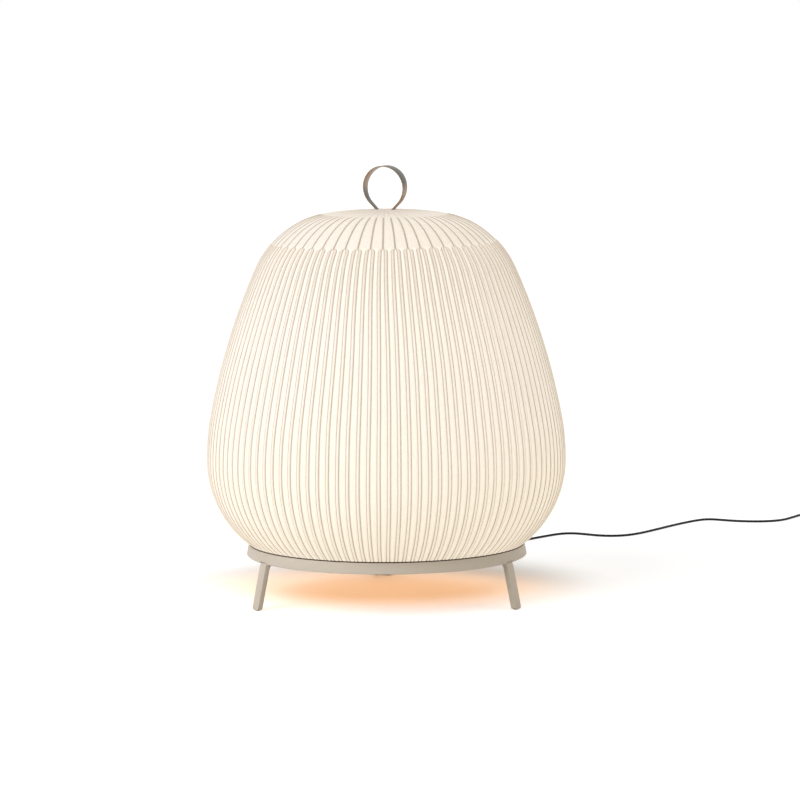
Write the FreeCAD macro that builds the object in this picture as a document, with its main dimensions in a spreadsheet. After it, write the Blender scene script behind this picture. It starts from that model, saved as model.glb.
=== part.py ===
# Floor lamp with a knitted, ribbed shade on three flat-bar legs. Millimetres, +Z up, origin on the floor
# under the lamp's axis. The front is towards -Y.
import FreeCAD
import Part
import Sketcher

import math
import os
import re

doc = FreeCAD.newDocument("knit_floor_lamp")
sheet = doc.addObject("Spreadsheet::Sheet", "Sizes")

# Driving dimensions, in millimetres, degrees and counts
driving_sizes = {
    # legs and base ring
    "leg_height": 88,
    "foot_spread": 14,
    "leg_splay": 12,
    "bar_width": 23,
    "bar_thickness": 9.5,
    "bend_radius": 16,
    "foot_round": 5,
    "arm_start": 22,
    "glide_length": 10,
    "glide_width": 6,
    "glide_height": 1.5,
    "ring_radius": 271.5,
    "ring_height": 21,
    "ring_taper": 4,
    "ring_wall": 2.5,
    "ring_edge_round": 1.5,
    "ring_inner_round": 1,
    "lip_width": 46,
    "slot_clearance": 0.6,
    "screw_radius": 2.5,
    "screw_head_radius": 4.5,
    "screw_head_height": 3,
    "screw_clearance": 0.15,
    "arm_screw_inner": 36,
    "arm_screw_outer": 58,
    "ring_screw_depth": 6,
    "mouth_hoop_width": 18,
    "mouth_hoop_thickness": 6,
    # stem and light
    "hub_radius": 72,
    "hub_thickness": 5,
    "stem_radius": 8,
    "stem_wall": 1.5,
    "stem_clearance": 0.2,
    "nut_radius": 13,
    "nut_height": 7,
    "can_radius": 60,
    "can_height": 44,
    "can_wall": 2,
    "lid_thickness": 3,
    "lid_skirt": 6,
    "board_thickness": 1.6,
    "transformer_length": 26,
    "transformer_height": 18,
    "core_radius": 26,
    "core_sides": 6,
    "core_length": 236,
    "strip_width": 16,
    "strip_end_margin": 8,
    "chip_size": 5,
    "chip_height": 0.8,
    "chip_count": 10,
    "diffuser_radius": 58,
    "diffuser_wall": 3,
    # shade
    "shade_radius": 347,
    "belly_height": 274,
    "upper_belly_round": 465,
    "upper_belly_turn": 10.75,
    "flank_round": 1285,
    "flank_turn": 13.3,
    "shoulder_round": 174,
    "shoulder_turn": 57.5,
    "seam_turn": 37.1,
    "knit_thickness": 2.5,
    "knit_clearance": 0.5,
    "rod_count": 112,
    "rib_turn": -0.8,
    "rod_width": 3,
    "rod_depth": 3,
    "rod_clearance": 0.3,
    "shoulder_hoop_thickness": 2,
    "shoulder_hoop_height": 9,
    "crown_cap_thickness": 2,
    "crown_cap_margin": 3,
    # carrying loop
    "loop_diameter": 84.6,
    "loop_rise": 85,
    "loop_turn": -23,
    "loop_flare": 45,
    "strap_width": 27,
    "strap_foot_width": 10,
    "strap_thickness": 2,
    "strap_bend": 6,
    "strap_tail": 14,
    "strap_gap": 0.6,
    "strap_clearance": 0.4,
    "boss_wall": 3,
    "boss_flange_radius": 36,
    "boss_flange_thickness": 4,
    "boss_neck_radius": 14,
    "boss_socket_depth": 18,
    # cord and what is on it
    "cord_diameter": 5,
    "cord_straight": 18,
    "floor_clearance": 0.2,
    "gland_x": -26,
    "gland_setback": 37,
    "gland_collar_radius": 7,
    "gland_collar_height": 4,
    "gland_tip_radius": 3.6,
    "gland_length": 30,
    "grommet_radius": 5,
    "grommet_flange": 2,
    "lead_height": 122,
    "switch_x": 110,
    "switch_y": 629,
    "switch_turn": 15,
    "switch_length": 90,
    "switch_width": 38,
    "switch_height": 24,
    "switch_split": 9,
    "switch_wall": 2,
    "switch_edge_round": 5,
    "switch_end_round": 18.5,
    "switch_axis_height": 7,
    "boot_length": 22,
    "boot_radius": 6,
    "boot_tip_radius": 3.6,
    "boot_clearance": 0.2,
    "button_radius": 12,
    "button_rise": 4,
    "button_flange": 2,
    "button_clearance": 0.3,
    "button_dish": 1,
    "spring_radius": 6,
    "spring_wire": 1.2,
    "coil_x": 995,
    "coil_y": 1192,
    "coil_heading": 20,
    "coil_inner_radius": 20.7,
    "coil_pitch": 5.6,
    "coil_turns": 5,
    "tie_thickness": 0.8,
    "tie_width": 12,
    "tie_clearance": 0.3,
    "tie_turn": 135,
    "plug_x": 1070,
    "plug_y": 1192,
    "plug_heading": 33,
    "plug_boot_length": 24,
    "plug_length": 35,
    "plug_width": 26,
    "plug_neck_width": 13,
    "plug_shoulder": 10,
    "plug_height": 13.7,
    "plug_edge_round": 2.5,
    "pin_radius": 2,
    "pin_length": 19,
    "pin_spacing": 18.6,
}
for row, (alias, number) in enumerate(driving_sizes.items(), start=1):
    sheet.set("A%d" % row, alias)
    sheet.set("B%d" % row, str(number))
    sheet.setAlias("B%d" % row, alias)
doc.recompute()

full_turn = 360
core_sides = int(driving_sizes["core_sides"])
leg_angles = {"leg_rear": 90, "leg_front_left": 210, "leg_front_right": 330}
upright = FreeCAD.Vector(0, 0, 1)
origin = FreeCAD.Vector(0, 0, 0)
sub_parts = []


# A text of aliases as an expression of the sheet's cells, and its value
def cells(text):
    def cell(word):
        return "Sizes." + word.group(0) if word.group(0) in driving_sizes else word.group(0)
    return re.sub(r"[a-z][a-z_]*", cell, text)


def value(text):
    return float(sheet.evalExpression(cells(text)))


def bind(item, prop, text):
    item.setExpression(prop, cells(text))


def hand_in(item, label):
    item.Label = label
    sub_parts.append(item)
    return item


def feature(label, shape, placement=FreeCAD.Placement()):
    item = doc.addObject("Part::Feature", label)
    item.Shape = shape
    item.Placement = placement
    return hand_in(item, label)


# Part primitives whose sizes and places are bound to the sheet
def place(item, x, y, z):
    for axis, text in zip("xyz", (x, y, z)):
        bind(item, "Placement.Base." + axis, text)


def cylinder(name, radius, height, z, x="0", y="0"):
    item = doc.addObject("Part::Cylinder", name)
    bind(item, "Radius", radius)
    bind(item, "Height", height)
    place(item, x, y, z)
    return item


def prism(name, sides, radius, height, z):
    item = doc.addObject("Part::Prism", name)
    item.Polygon = sides
    bind(item, "Circumradius", radius)
    bind(item, "Height", height)
    place(item, "0", "0", z)
    return item


def box(name, length, width, height, x, y, z):
    item = doc.addObject("Part::Box", name)
    bind(item, "Length", length)
    bind(item, "Width", width)
    bind(item, "Height", height)
    place(item, x, y, z)
    return item


def fuse(name, items):
    item = doc.addObject("Part::MultiFuse", name)
    item.Shapes = items
    return item


def cut(name, base, tool):
    item = doc.addObject("Part::Cut", name)
    item.Base = base
    item.Tool = tool
    return item


def compound(label, items):
    item = doc.addObject("Part::Compound", label)
    item.Links = items
    return hand_in(item, label)


def tube(name, radius, bore, height, z):
    outside = cylinder(name + "_outside", radius, height, z)
    return cut(name, outside, cylinder(name + "_bore", bore, height, z))


# PartDesign bodies and their sketches
def new_body(label):
    made = doc.addObject("PartDesign::Body", label)
    return hand_in(made, label)


def origin_feature(body, role):
    return next(item for item in body.Origin.OriginFeatures if item.Role == role)


def new_sketch(body, name, role, offset="0"):
    sketch = body.newObject("Sketcher::SketchObject", name)
    sketch.AttachmentSupport = [(origin_feature(body, role), "")]
    sketch.MapMode = "FlatFace"
    bind(sketch, "AttachmentOffset.Base.z", offset)
    return sketch


def tie_distance(sketch, kind, geometry, point, text):
    number = sketch.addConstraint(Sketcher.Constraint(kind, -1, 1, geometry, point, value(text)))
    sketch.setExpression("Constraints[%d]" % number, cells(text))


def outline(body, name, role, corners, offset="0"):
    sketch = new_sketch(body, name, role, offset)
    points = [FreeCAD.Vector(value(x), value(y), 0) for x, y in corners]
    for index, point in enumerate(points):
        sketch.addGeometry(Part.LineSegment(point, points[(index + 1) % len(points)]))
    for index in range(len(points)):
        following = (index + 1) % len(points)
        sketch.addConstraint(Sketcher.Constraint("Coincident", index, 2, following, 1))
    for index, (x, y) in enumerate(corners):
        tie_distance(sketch, "DistanceX", index, 1, x)
        tie_distance(sketch, "DistanceY", index, 1, y)
    return sketch


def rectangle(body, name, role, x0, x1, y0, y1, offset="0"):
    return outline(body, name, role, [(x0, y0), (x1, y0), (x1, y1), (x0, y1)], offset)


def circle(body, name, role, radius, x="0", y="0"):
    sketch = new_sketch(body, name, role)
    sketch.addGeometry(Part.Circle(FreeCAD.Vector(value(x), value(y), 0), upright, value(radius)))
    tie_distance(sketch, "DistanceX", 0, 3, x)
    tie_distance(sketch, "DistanceY", 0, 3, y)
    number = sketch.addConstraint(Sketcher.Constraint("Radius", 0, value(radius)))
    sketch.setExpression("Constraints[%d]" % number, cells(radius))
    return sketch


def pad(body, sketch, length, midplane=False):
    item = body.newObject("PartDesign::Pad", sketch.Name + "_pad")
    item.Profile = sketch
    item.Midplane = midplane
    bind(item, "Length", length)
    doc.recompute()
    return item


# A pocket cuts towards +Z from its sketch when upwards is set, and must take material away
def pocket(body, sketch, length, upwards):
    before = body.Shape.Volume
    item = body.newObject("PartDesign::Pocket", sketch.Name + "_pocket")
    item.Profile = sketch
    item.Reversed = upwards
    bind(item, "Length", length)
    doc.recompute()
    if not item.Shape.Volume < before:
        raise ValueError(item.Name + " cuts nothing")
    return item


def revolution(body, sketch):
    item = body.newObject("PartDesign::Revolution", sketch.Name + "_turned")
    item.Profile = sketch
    item.ReferenceAxis = (sketch, ["V_Axis"])
    item.Angle = full_turn
    doc.recompute()
    return item


def threefold(body, original):
    item = body.newObject("PartDesign::PolarPattern", original.Name + "_threefold")
    item.Originals = [original]
    item.Axis = (origin_feature(body, "Z_Axis"), [""])
    item.Angle = full_turn
    item.Occurrences = len(leg_angles)
    body.Tip = item
    doc.recompute()
    return item


def round_edges(body, base, radius, wanted):
    names = ["Edge%d" % (index + 1) for index, edge in enumerate(base.Shape.Edges) if wanted(edge)]
    item = body.newObject("PartDesign::Fillet", base.Name + "_round")
    item.Base = (base, names)
    bind(item, "Radius", radius)
    doc.recompute()
    return item


def is_circle(edge, radius, z):
    curve = edge.Curve
    round_edge = hasattr(curve, "Radius") and abs(curve.Radius - radius) < 1e-6
    return round_edge and abs(edge.Vertexes[0].Z - z) < 1e-6


def is_upright(edge):
    low, high = edge.Vertexes[0].Point, edge.Vertexes[-1].Point
    return abs(low.x - high.x) + abs(low.y - high.y) < 1e-6 and abs(low.z - high.z) > 1e-6


# Heights and radii that several pieces share
foot_radius = "(ring_radius + foot_spread)"
gland_y = "(ring_radius - gland_setback)"
ring_top = "(leg_height + ring_height)"
lip_top = "(leg_height + ring_wall)"
screw_hole = "(screw_radius + screw_clearance)"
arm_middle = "(leg_height + ring_wall + bar_thickness / 2)"
arm_top = "(leg_height + ring_wall + bar_thickness)"
bend_round = "(bend_radius + bar_thickness / 2)"
bend_end_height = f"({arm_middle} - {bend_round} * (1 - sin(leg_splay * 1 deg)))"
bend_end = f"({foot_radius} - {bend_end_height} * tan(leg_splay * 1 deg))"
bend_start = f"({bend_end} - {bend_round} * cos(leg_splay * 1 deg))"
leg_outside = f"({bend_end} + bar_thickness / 2 / cos(leg_splay * 1 deg))"
ring_screw_radius = f"(ring_radius - lip_width + ({bend_start} - ring_radius + lip_width) / 2)"
mouth_radius = "(ring_radius - ring_taper - ring_wall - knit_clearance)"
rod_foot_radius = f"({mouth_radius} - knit_thickness - rod_clearance)"
hoop_top = f"({arm_top} + mouth_hoop_thickness)"
hub_top = f"({arm_top} + hub_thickness)"
can_top = f"({hub_top} + can_height)"
lid_top = f"({can_top} + lid_thickness)"
core_top = f"({lid_top} + core_length)"
stem_bore = "(stem_radius + stem_clearance)"


# Base ring: conical band with a rounded lower edge and a lip that the arms lie on
def make_base_ring():
    body = new_body("base_ring")
    band_top = "ring_radius - ring_taper"
    lip_edge = "ring_radius - lip_width"
    section = outline(body, "ring_section", "XZ_Plane", [
        ("ring_radius", "leg_height"),
        (band_top, ring_top),
        (band_top + " - ring_wall", ring_top),
        ("ring_radius - ring_wall", lip_top),
        (lip_edge, lip_top),
        (lip_edge, "leg_height"),
    ])
    band = revolution(body, section)
    edge_radius, edge_height = value("ring_radius"), value("leg_height")
    edge = round_edges(body, band, "ring_edge_round", lambda item: is_circle(item, edge_radius, edge_height))
    inner_radius, inner_height = value("ring_radius - ring_wall"), value(lip_top)
    round_edges(body, edge, "ring_inner_round", lambda item: is_circle(item, inner_radius, inner_height))
    slot = rectangle(body, "leg_slot", "XY_Plane", "-bar_width / 2 - slot_clearance",
                     "bar_width / 2 + slot_clearance", bend_start + " - slot_clearance",
                     leg_outside + " + slot_clearance")
    threefold(body, pocket(body, slot, lip_top + " + ring_inner_round", True))
    hole = circle(body, "ring_screw_hole", "XY_Plane", screw_hole, "0", ring_screw_radius)
    threefold(body, pocket(body, hole, lip_top, True))
    hole = circle(body, "gland_hole", "XY_Plane", "grommet_radius + screw_clearance", "gland_x", gland_y)
    body.Tip = pocket(body, hole, lip_top, True)


# A leg lies along +X: an arm on the lip, one bend and a splayed leg with a rounded foot
def make_leg_shape():
    thick, wide = value("bar_thickness"), value("bar_width")
    splay = math.radians(value("leg_splay"))
    turn = math.pi / 2 - splay
    bend_x, middle = value(bend_start), value(arm_middle)
    centre = FreeCAD.Vector(bend_x, 0, middle - value(bend_round))
    foot = value("glide_height")

    def on_bend(radius, angle):
        return centre + FreeCAD.Vector(math.sin(angle), 0, math.cos(angle)) * radius

    def side(radius):
        top = on_bend(radius, 0)
        end = on_bend(radius, turn)
        run = (end.z - foot) / math.cos(splay)
        toe = end + FreeCAD.Vector(math.sin(splay), 0, -math.cos(splay)) * run
        start = FreeCAD.Vector(value("arm_start"), 0, top.z)
        edges = [
            line(start, top),
            Part.Arc(top, on_bend(radius, turn / 2), end).toShape(),
            line(end, toe),
        ]
        return start, toe, edges

    outer_start, outer_toe, outer_edges = side(value(bend_round) + thick / 2)
    inner_start, inner_toe, inner_edges = side(value(bend_round) - thick / 2)
    ends = [line(outer_toe, inner_toe), line(inner_start, outer_start)]
    wire = Part.Wire(Part.__sortEdges__(outer_edges + inner_edges + ends))
    bar = Part.Face(wire).extrude(FreeCAD.Vector(0, wide, 0))
    bar.translate(FreeCAD.Vector(0, -wide / 2, 0))
    toes = [edge for edge in bar.Edges if all(abs(item.Z - foot) < 1e-6 for item in edge.Vertexes)
            and abs(edge.Vertexes[0].Y - edge.Vertexes[1].Y) < 1e-6]
    bar = bar.makeFillet(value("foot_round"), toes)
    hole_radius = value(screw_hole)
    low, high = value(lip_top), value("bar_thickness")
    for place_x in (value("arm_screw_inner"), value("arm_screw_outer")):
        bar = bar.cut(Part.makeCylinder(hole_radius, high, FreeCAD.Vector(place_x, 0, low)))
    depth = value("ring_screw_depth")
    return bar.cut(Part.makeCylinder(hole_radius, depth, FreeCAD.Vector(value(ring_screw_radius), 0, low)))


def make_legs():
    shape = make_leg_shape()
    for label, angle in leg_angles.items():
        feature(label, shape, FreeCAD.Placement(origin, FreeCAD.Rotation(upright, angle)))


def make_glides():
    body = new_body("glides")
    middle = f"({foot_radius} - glide_height * tan(leg_splay * 1 deg))"
    sketch = rectangle(body, "glide", "XY_Plane", "-glide_length / 2", "glide_length / 2",
                       middle + " - glide_width / 2", middle + " + glide_width / 2")
    threefold(body, pad(body, sketch, "glide_height"))


# A screw with its head down, at a radius and an angle about the lamp's axis
def make_screw(name, radius, angle, head_top, shank):
    x = f"{radius} * cos({angle} deg)"
    y = f"{radius} * sin({angle} deg)"
    head_low = f"{head_top} - screw_head_height"
    head = cylinder(name + "_head", "screw_head_radius", "screw_head_height", head_low, x, y)
    return fuse(name, [head, cylinder(name + "_shank", "screw_radius", shank, head_top, x, y)])


def make_screws():
    arm, ring = [], []
    for label, angle in leg_angles.items():
        for row in ("arm_screw_inner", "arm_screw_outer"):
            arm.append(make_screw(f"{label}_{row}", row, angle, lip_top, "bar_thickness + hub_thickness"))
        ring.append(make_screw(label + "_ring_screw", ring_screw_radius, angle, "leg_height",
                               "ring_wall + ring_screw_depth"))
    compound("arm_screws", arm)
    compound("ring_screws", ring)


def make_hub_plate():
    holes = [cylinder("hub_stem_hole", stem_bore, "hub_thickness", arm_top)]
    for label, angle in leg_angles.items():
        for row in ("arm_screw_inner", "arm_screw_outer"):
            x, y = f"{row} * cos({angle} deg)", f"{row} * sin({angle} deg)"
            holes.append(cylinder(f"hub_{label}_{row}", screw_hole, "hub_thickness", arm_top, x, y))
    disc = cylinder("hub_disc", "hub_radius", "hub_thickness", arm_top)
    hand_in(cut("hub_plate", disc, fuse("hub_holes", holes)), "hub_plate")


def make_mouth_hoop():
    bore = f"{rod_foot_radius} - mouth_hoop_width"
    hand_in(tube("mouth_hoop", rod_foot_radius, bore, "mouth_hoop_thickness", arm_top), "mouth_hoop")


# Light: driver can, lid, core with its boards, and the opal diffuser round them
def make_driver():
    body = new_body("driver_can")
    wall = "can_radius - can_wall"
    revolution(body, outline(body, "can_section", "XZ_Plane", [
        (stem_bore, hub_top),
        ("can_radius", hub_top),
        ("can_radius", can_top),
        (wall, can_top),
        (wall, hub_top + " + can_wall"),
        (stem_bore, hub_top + " + can_wall"),
    ]))
    hole = circle(body, "grommet_hole", "XZ_Plane", "grommet_radius", "gland_x", "lead_height")
    pocket(body, hole, "can_radius", False)
    lid = new_body("driver_lid")
    skirt = wall + " - stem_clearance"
    revolution(lid, outline(lid, "lid_section", "XZ_Plane", [
        (stem_bore, lid_top),
        ("can_radius", lid_top),
        ("can_radius", can_top),
        (skirt, can_top),
        (skirt, can_top + " - lid_skirt"),
        (skirt + " - can_wall", can_top + " - lid_skirt"),
        (skirt + " - can_wall", can_top),
        (stem_bore, can_top),
    ]))
    board = tube("driver_disc", wall + " - stem_clearance", "stem_radius + can_wall", "board_thickness",
                 hub_top + " + can_wall")
    transformer = box("transformer", "transformer_length", "transformer_length", "transformer_height",
                      "can_radius / 4", "-transformer_length / 2", hub_top + " + can_wall + board_thickness")
    hand_in(fuse("driver_board", [board, transformer]), "driver_board")


# The lead from the gland rises inside the ring, bends over and enters the can through a grommet
def make_inner_lead():
    x, y = value("gland_x"), value(gland_y)
    low, high = value(lip_top + " + gland_collar_height"), value("lead_height")
    end = value("sqrt(can_radius ^ 2 - gland_x ^ 2) + grommet_flange")
    bend = high - low
    half_turn = math.pi / 4
    middle = FreeCAD.Vector(x, y - bend * (1 - math.cos(half_turn)), low + bend * math.sin(half_turn))
    over = FreeCAD.Vector(x, y - bend, high)
    wire = Part.Wire([
        Part.Arc(FreeCAD.Vector(x, y, low), middle, over).toShape(),
        line(over, FreeCAD.Vector(x, end, high)),
    ])
    feature("inner_lead", sweep_round(wire, value("cord_diameter") / 2))
    reach = value("can_wall * 3")
    grommet = Part.makeCylinder(value("grommet_radius - stem_clearance"), reach + value("grommet_flange"),
                                FreeCAD.Vector(x, end, high), FreeCAD.Vector(0, -1, 0))
    feature("lead_grommet", grommet)


def make_light():
    hand_in(cut("light_core", prism("core_bar", core_sides, "core_radius", "core_length", lid_top),
                cylinder("core_bore", stem_bore, "core_length", lid_top)), "light_core")
    half_side = full_turn / core_sides / 2
    face = value(f"core_radius * cos({half_side} deg)")
    low = value(lid_top + " + strip_end_margin")
    long = value("core_length - 2 * strip_end_margin")
    across, thick = value("strip_width"), value("board_thickness")
    chip, count = value("chip_size"), int(value("chip_count"))
    board = Part.makeBox(thick, across, long, FreeCAD.Vector(face, -across / 2, low))
    row = []
    for index in range(count):
        corner = FreeCAD.Vector(face + thick, -chip / 2, low + long * (index + 0.5) / count - chip / 2)
        row.append(Part.makeBox(value("chip_height"), chip, chip, corner))
    feature("light_boards", around(board, core_sides, half_side))
    feature("light_chips", around(Part.makeCompound(row), core_sides, half_side))
    shell = tube("diffuser", "diffuser_radius", "diffuser_radius - diffuser_wall", "core_length", lid_top)
    hand_in(shell, "diffuser")
    cap = new_body("diffuser_cap")
    revolution(cap, outline(cap, "cap_section", "XZ_Plane", [
        (stem_bore, core_top),
        ("diffuser_radius", core_top),
        ("diffuser_radius", core_top + " + diffuser_wall"),
        (stem_bore, core_top + " + diffuser_wall"),
    ]))


def make_stem():
    low = f"{arm_top} - nut_height"
    top = loop_boss_heights()["socket_top"]
    length = f"{top} - ({low})"
    hand_in(tube("stem", "stem_radius", "stem_radius - stem_wall", length, low), "stem")
    nuts = []
    for name, z in (("lower_nut", low), ("upper_nut", core_top + " + diffuser_wall")):
        nuts.append(cut(name, prism(name + "_hexagon", 6, "nut_radius", "nut_height", z),
                        cylinder(name + "_bore", "stem_radius", "nut_height", z)))
    compound("stem_nuts", nuts)


# The shade's meridian: arcs that turn from level at the crown to the mouth at the ring. Each arc has its
# centre and radius, and the tangent's angle below level where it starts and ends.
def shade_arcs():
    belly = value("belly_height")
    wide = value("shade_radius")
    upper, flank, shoulder = value("upper_belly_round"), value("flank_round"), value("shoulder_round")
    flank_end = math.radians(90 - value("upper_belly_turn"))
    shoulder_end = flank_end - math.radians(value("flank_turn"))
    crown_end = shoulder_end - math.radians(value("shoulder_turn"))

    def moved(centre, step, angle):
        return (centre[0] + step * math.sin(angle), centre[1] + step * math.cos(angle))

    upper_centre = (wide - upper, belly)
    flank_centre = moved(upper_centre, upper - flank, flank_end)
    shoulder_centre = moved(flank_centre, flank - shoulder, shoulder_end)
    crown = shoulder + shoulder_centre[0] / math.sin(crown_end)
    crown_centre = moved(shoulder_centre, shoulder - crown, crown_end)
    inset, drop = wide - value(mouth_radius), belly - value(ring_top)
    lower = (inset ** 2 + drop ** 2) / (2 * inset)
    mouth_angle = math.pi - math.asin((value(mouth_radius) - wide + lower) / lower)
    return [
        (crown_centre, crown, 0.0, crown_end),
        (shoulder_centre, shoulder, crown_end, shoulder_end),
        (flank_centre, flank, shoulder_end, flank_end),
        (upper_centre, upper, flank_end, math.pi / 2),
        ((wide - lower, belly), lower, math.pi / 2, mouth_angle),
    ]


arcs = shade_arcs()
crown_arc, shoulder_arc, mouth_arc = arcs[0], arcs[1], arcs[4]
seam_angle = shoulder_arc[2] + math.radians(value("seam_turn"))
shade_top = crown_arc[0][1] + crown_arc[1]


def on_arc(arc, angle, depth):
    (across, high), radius = arc[0], arc[1] - depth
    return FreeCAD.Vector(across + radius * math.sin(angle), 0, high + radius * math.cos(angle))


def arc_edge(arc, start, end, depth):
    middle = (start + end) / 2
    return Part.Arc(on_arc(arc, start, depth), on_arc(arc, middle, depth), on_arc(arc, end, depth)).toShape()


# The angle at which the lowest arc, moved in by depth, stands at the given radius
def mouth_angle_at(radius, depth):
    (across, high), arc_radius = mouth_arc[0], mouth_arc[1] - depth
    return math.pi - math.asin((radius - across) / arc_radius)


def line(start, end):
    return Part.LineSegment(start, end).toShape()


# The skin's face between the outer meridian and the same meridian a knit's thickness further in, with a hem
# that hangs between the mouth hoop and the ring
def make_shade_knit():
    thick = value("knit_thickness")
    hem = value(arm_top + " + rod_clearance")
    edges = []
    for depth in (0, thick):
        for arc in arcs[:4]:
            edges.append(arc_edge(arc, arc[2], arc[3], depth))
        radius = value(mouth_radius) - depth
        end = mouth_angle_at(radius, depth)
        edges.append(arc_edge(mouth_arc, mouth_arc[2], end, depth))
        edges.append(line(on_arc(mouth_arc, end, depth), FreeCAD.Vector(radius, 0, hem)))
    edges.append(line(on_arc(crown_arc, 0, 0), on_arc(crown_arc, 0, thick)))
    hem_edge = FreeCAD.Vector(value(mouth_radius), 0, hem)
    edges.append(line(hem_edge, hem_edge - FreeCAD.Vector(thick, 0, 0)))
    face = Part.Face(Part.Wire(Part.__sortEdges__(edges)))
    skin = face.revolve(origin, upright, full_turn)
    feature("shade_knit", skin.cut(strap_slot()))


# The slot through which the carrying loop's strap passes the shade's top
def strap_slot():
    half = loop_sizes()["slot_half"]
    wide = strap_width_at(shade_top) + 2 * value("strap_clearance")
    tall = value("loop_diameter")
    slot = Part.makeBox(2 * half, wide, tall, FreeCAD.Vector(-half, -wide / 2, shade_top - tall / 2))
    slot.rotate(origin, upright, value("loop_turn"))
    return slot


def make_crown_cap():
    upper = value("knit_thickness + rod_clearance")
    lower = upper + value("crown_cap_thickness")
    rim = crown_arc[3] - value("crown_cap_margin") / crown_arc[1]
    edges = [arc_edge(crown_arc, 0, rim, upper), arc_edge(crown_arc, 0, rim, lower)]
    edges.append(line(on_arc(crown_arc, 0, upper), on_arc(crown_arc, 0, lower)))
    edges.append(line(on_arc(crown_arc, rim, upper), on_arc(crown_arc, rim, lower)))
    face = Part.Face(Part.Wire(Part.__sortEdges__(edges)))
    feature("crown_cap", face.revolve(origin, upright, full_turn).cut(strap_slot()))


# A slender rod that follows the meridian in straight runs, and its copies round the axis
def rod_shape(outer, inner):
    corners = outer + inner[::-1]
    wide = value("rod_width")
    rod = Part.Face(Part.makePolygon(corners + corners[:1])).extrude(FreeCAD.Vector(0, wide, 0))
    rod.translate(FreeCAD.Vector(0, -wide / 2, 0))
    return rod


def around(shape, count, start):
    copies = []
    for index in range(count):
        copy = shape.copy()
        copy.rotate(origin, upright, start + full_turn * index / count)
        copies.append(copy)
    return Part.makeCompound(copies)


def runs(arc, start, end, count, depth):
    return [on_arc(arc, start + (end - start) * index / count, depth) for index in range(count + 1)]


rod_outside = value("knit_thickness + rod_clearance")
rod_inside = rod_outside + value("rod_depth")


# Body rods stand on the mouth hoop and end at the seam; wires in the dome run from the cap to the seam. Each
# arc is followed in a few straight runs.
short_arc_runs, mouth_arc_runs, dome_arc_runs = 2, 4, 3


def make_rods():
    sides = []
    for depth in (rod_outside, rod_inside):
        radius = value(rod_foot_radius) + rod_outside - depth
        points = runs(shoulder_arc, seam_angle, shoulder_arc[3], short_arc_runs, depth)
        points += runs(arcs[2], arcs[2][2], arcs[2][3], short_arc_runs, depth)[1:]
        points += runs(arcs[3], arcs[3][2], arcs[3][3], short_arc_runs, depth)[1:]
        points += runs(mouth_arc, mouth_arc[2], mouth_angle_at(radius, depth), mouth_arc_runs, depth)[1:]
        points.append(FreeCAD.Vector(radius, 0, value(hoop_top)))
        sides.append(points)
    count = int(value("rod_count"))
    start = 90 + value("rib_turn")
    feature("tunnel_rods", around(rod_shape(*sides), count, start + full_turn / count / 2))
    gap = value("rod_clearance") / shoulder_arc[1]
    margin = value("crown_cap_margin") / crown_arc[1]
    wires = []
    for depth in (rod_outside, rod_inside):
        points = [on_arc(crown_arc, crown_arc[3] - margin / 2, depth)]
        points += runs(shoulder_arc, shoulder_arc[2], seam_angle - gap, dome_arc_runs, depth)
        wires.append(points)
    feature("crown_wires", around(rod_shape(*wires), count // 2, start))


# Flat hoop inside the rods, sloped like the first of their straight runs below the seam
def make_shoulder_hoop():
    upper, lower = runs(shoulder_arc, seam_angle, shoulder_arc[3], short_arc_runs, rod_inside)[:2]
    down = (lower - upper).normalize()
    inwards = FreeCAD.Vector(down.z, 0, -down.x)
    outer = upper + inwards * value("rod_clearance")
    tall, thick = down * value("shoulder_hoop_height"), inwards * value("shoulder_hoop_thickness")
    corners = [outer, outer + tall, outer + tall + thick, outer + thick, outer]
    feature("shoulder_hoop", Part.Face(Part.makePolygon(corners)).revolve(origin, upright, full_turn))


# Carrying loop: one strap, widest at the top where it is held, its sides straight and drawn together below
# the shade's top, where both tails stand side by side in the boss
def loop_sizes():
    radius = value("(loop_diameter - strap_thickness) / 2")
    flare = math.radians(value("loop_flare"))
    middle = shade_top + value("loop_rise - loop_diameter / 2")
    meeting = middle - radius / math.sin(flare)
    slot_half = (shade_top - meeting) * math.tan(flare) + value("strap_thickness") / math.cos(flare)
    return {"radius": radius, "flare": flare, "middle": middle, "meeting": meeting, "slot_half": slot_half}


def strap_width_at(height):
    low, top = loop_sizes()["meeting"], shade_top + value("loop_rise")
    foot = value("strap_foot_width")
    return foot + value("strap_width - strap_foot_width") * (height - low) / (top - low)


# The strap's front outline, cut out of a strap of full width
def strap_taper():
    low = float(loop_boss_heights()["slot_end"])
    half = value("strap_foot_width") / 2
    top_half = value("strap_width") / 2
    far = value("loop_diameter")
    meeting, top = loop_sizes()["meeting"], shade_top + value("loop_rise")
    outline = [(-half, low), (-half, meeting), (-top_half, top)]
    outline += [(-across, high) for across, high in reversed(outline)]
    corners = [FreeCAD.Vector(-far / 2, across, high) for across, high in outline]
    return Part.Face(Part.makePolygon(corners + corners[:1])).extrude(FreeCAD.Vector(far, 0, 0))


def loop_boss_heights():
    floor = loop_sizes()["meeting"] - value("strap_bend")
    slot_end = floor - value("strap_tail")
    socket_top = slot_end - value("boss_wall")
    return {"floor": str(floor), "slot_end": str(slot_end), "socket_top": str(socket_top)}


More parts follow.
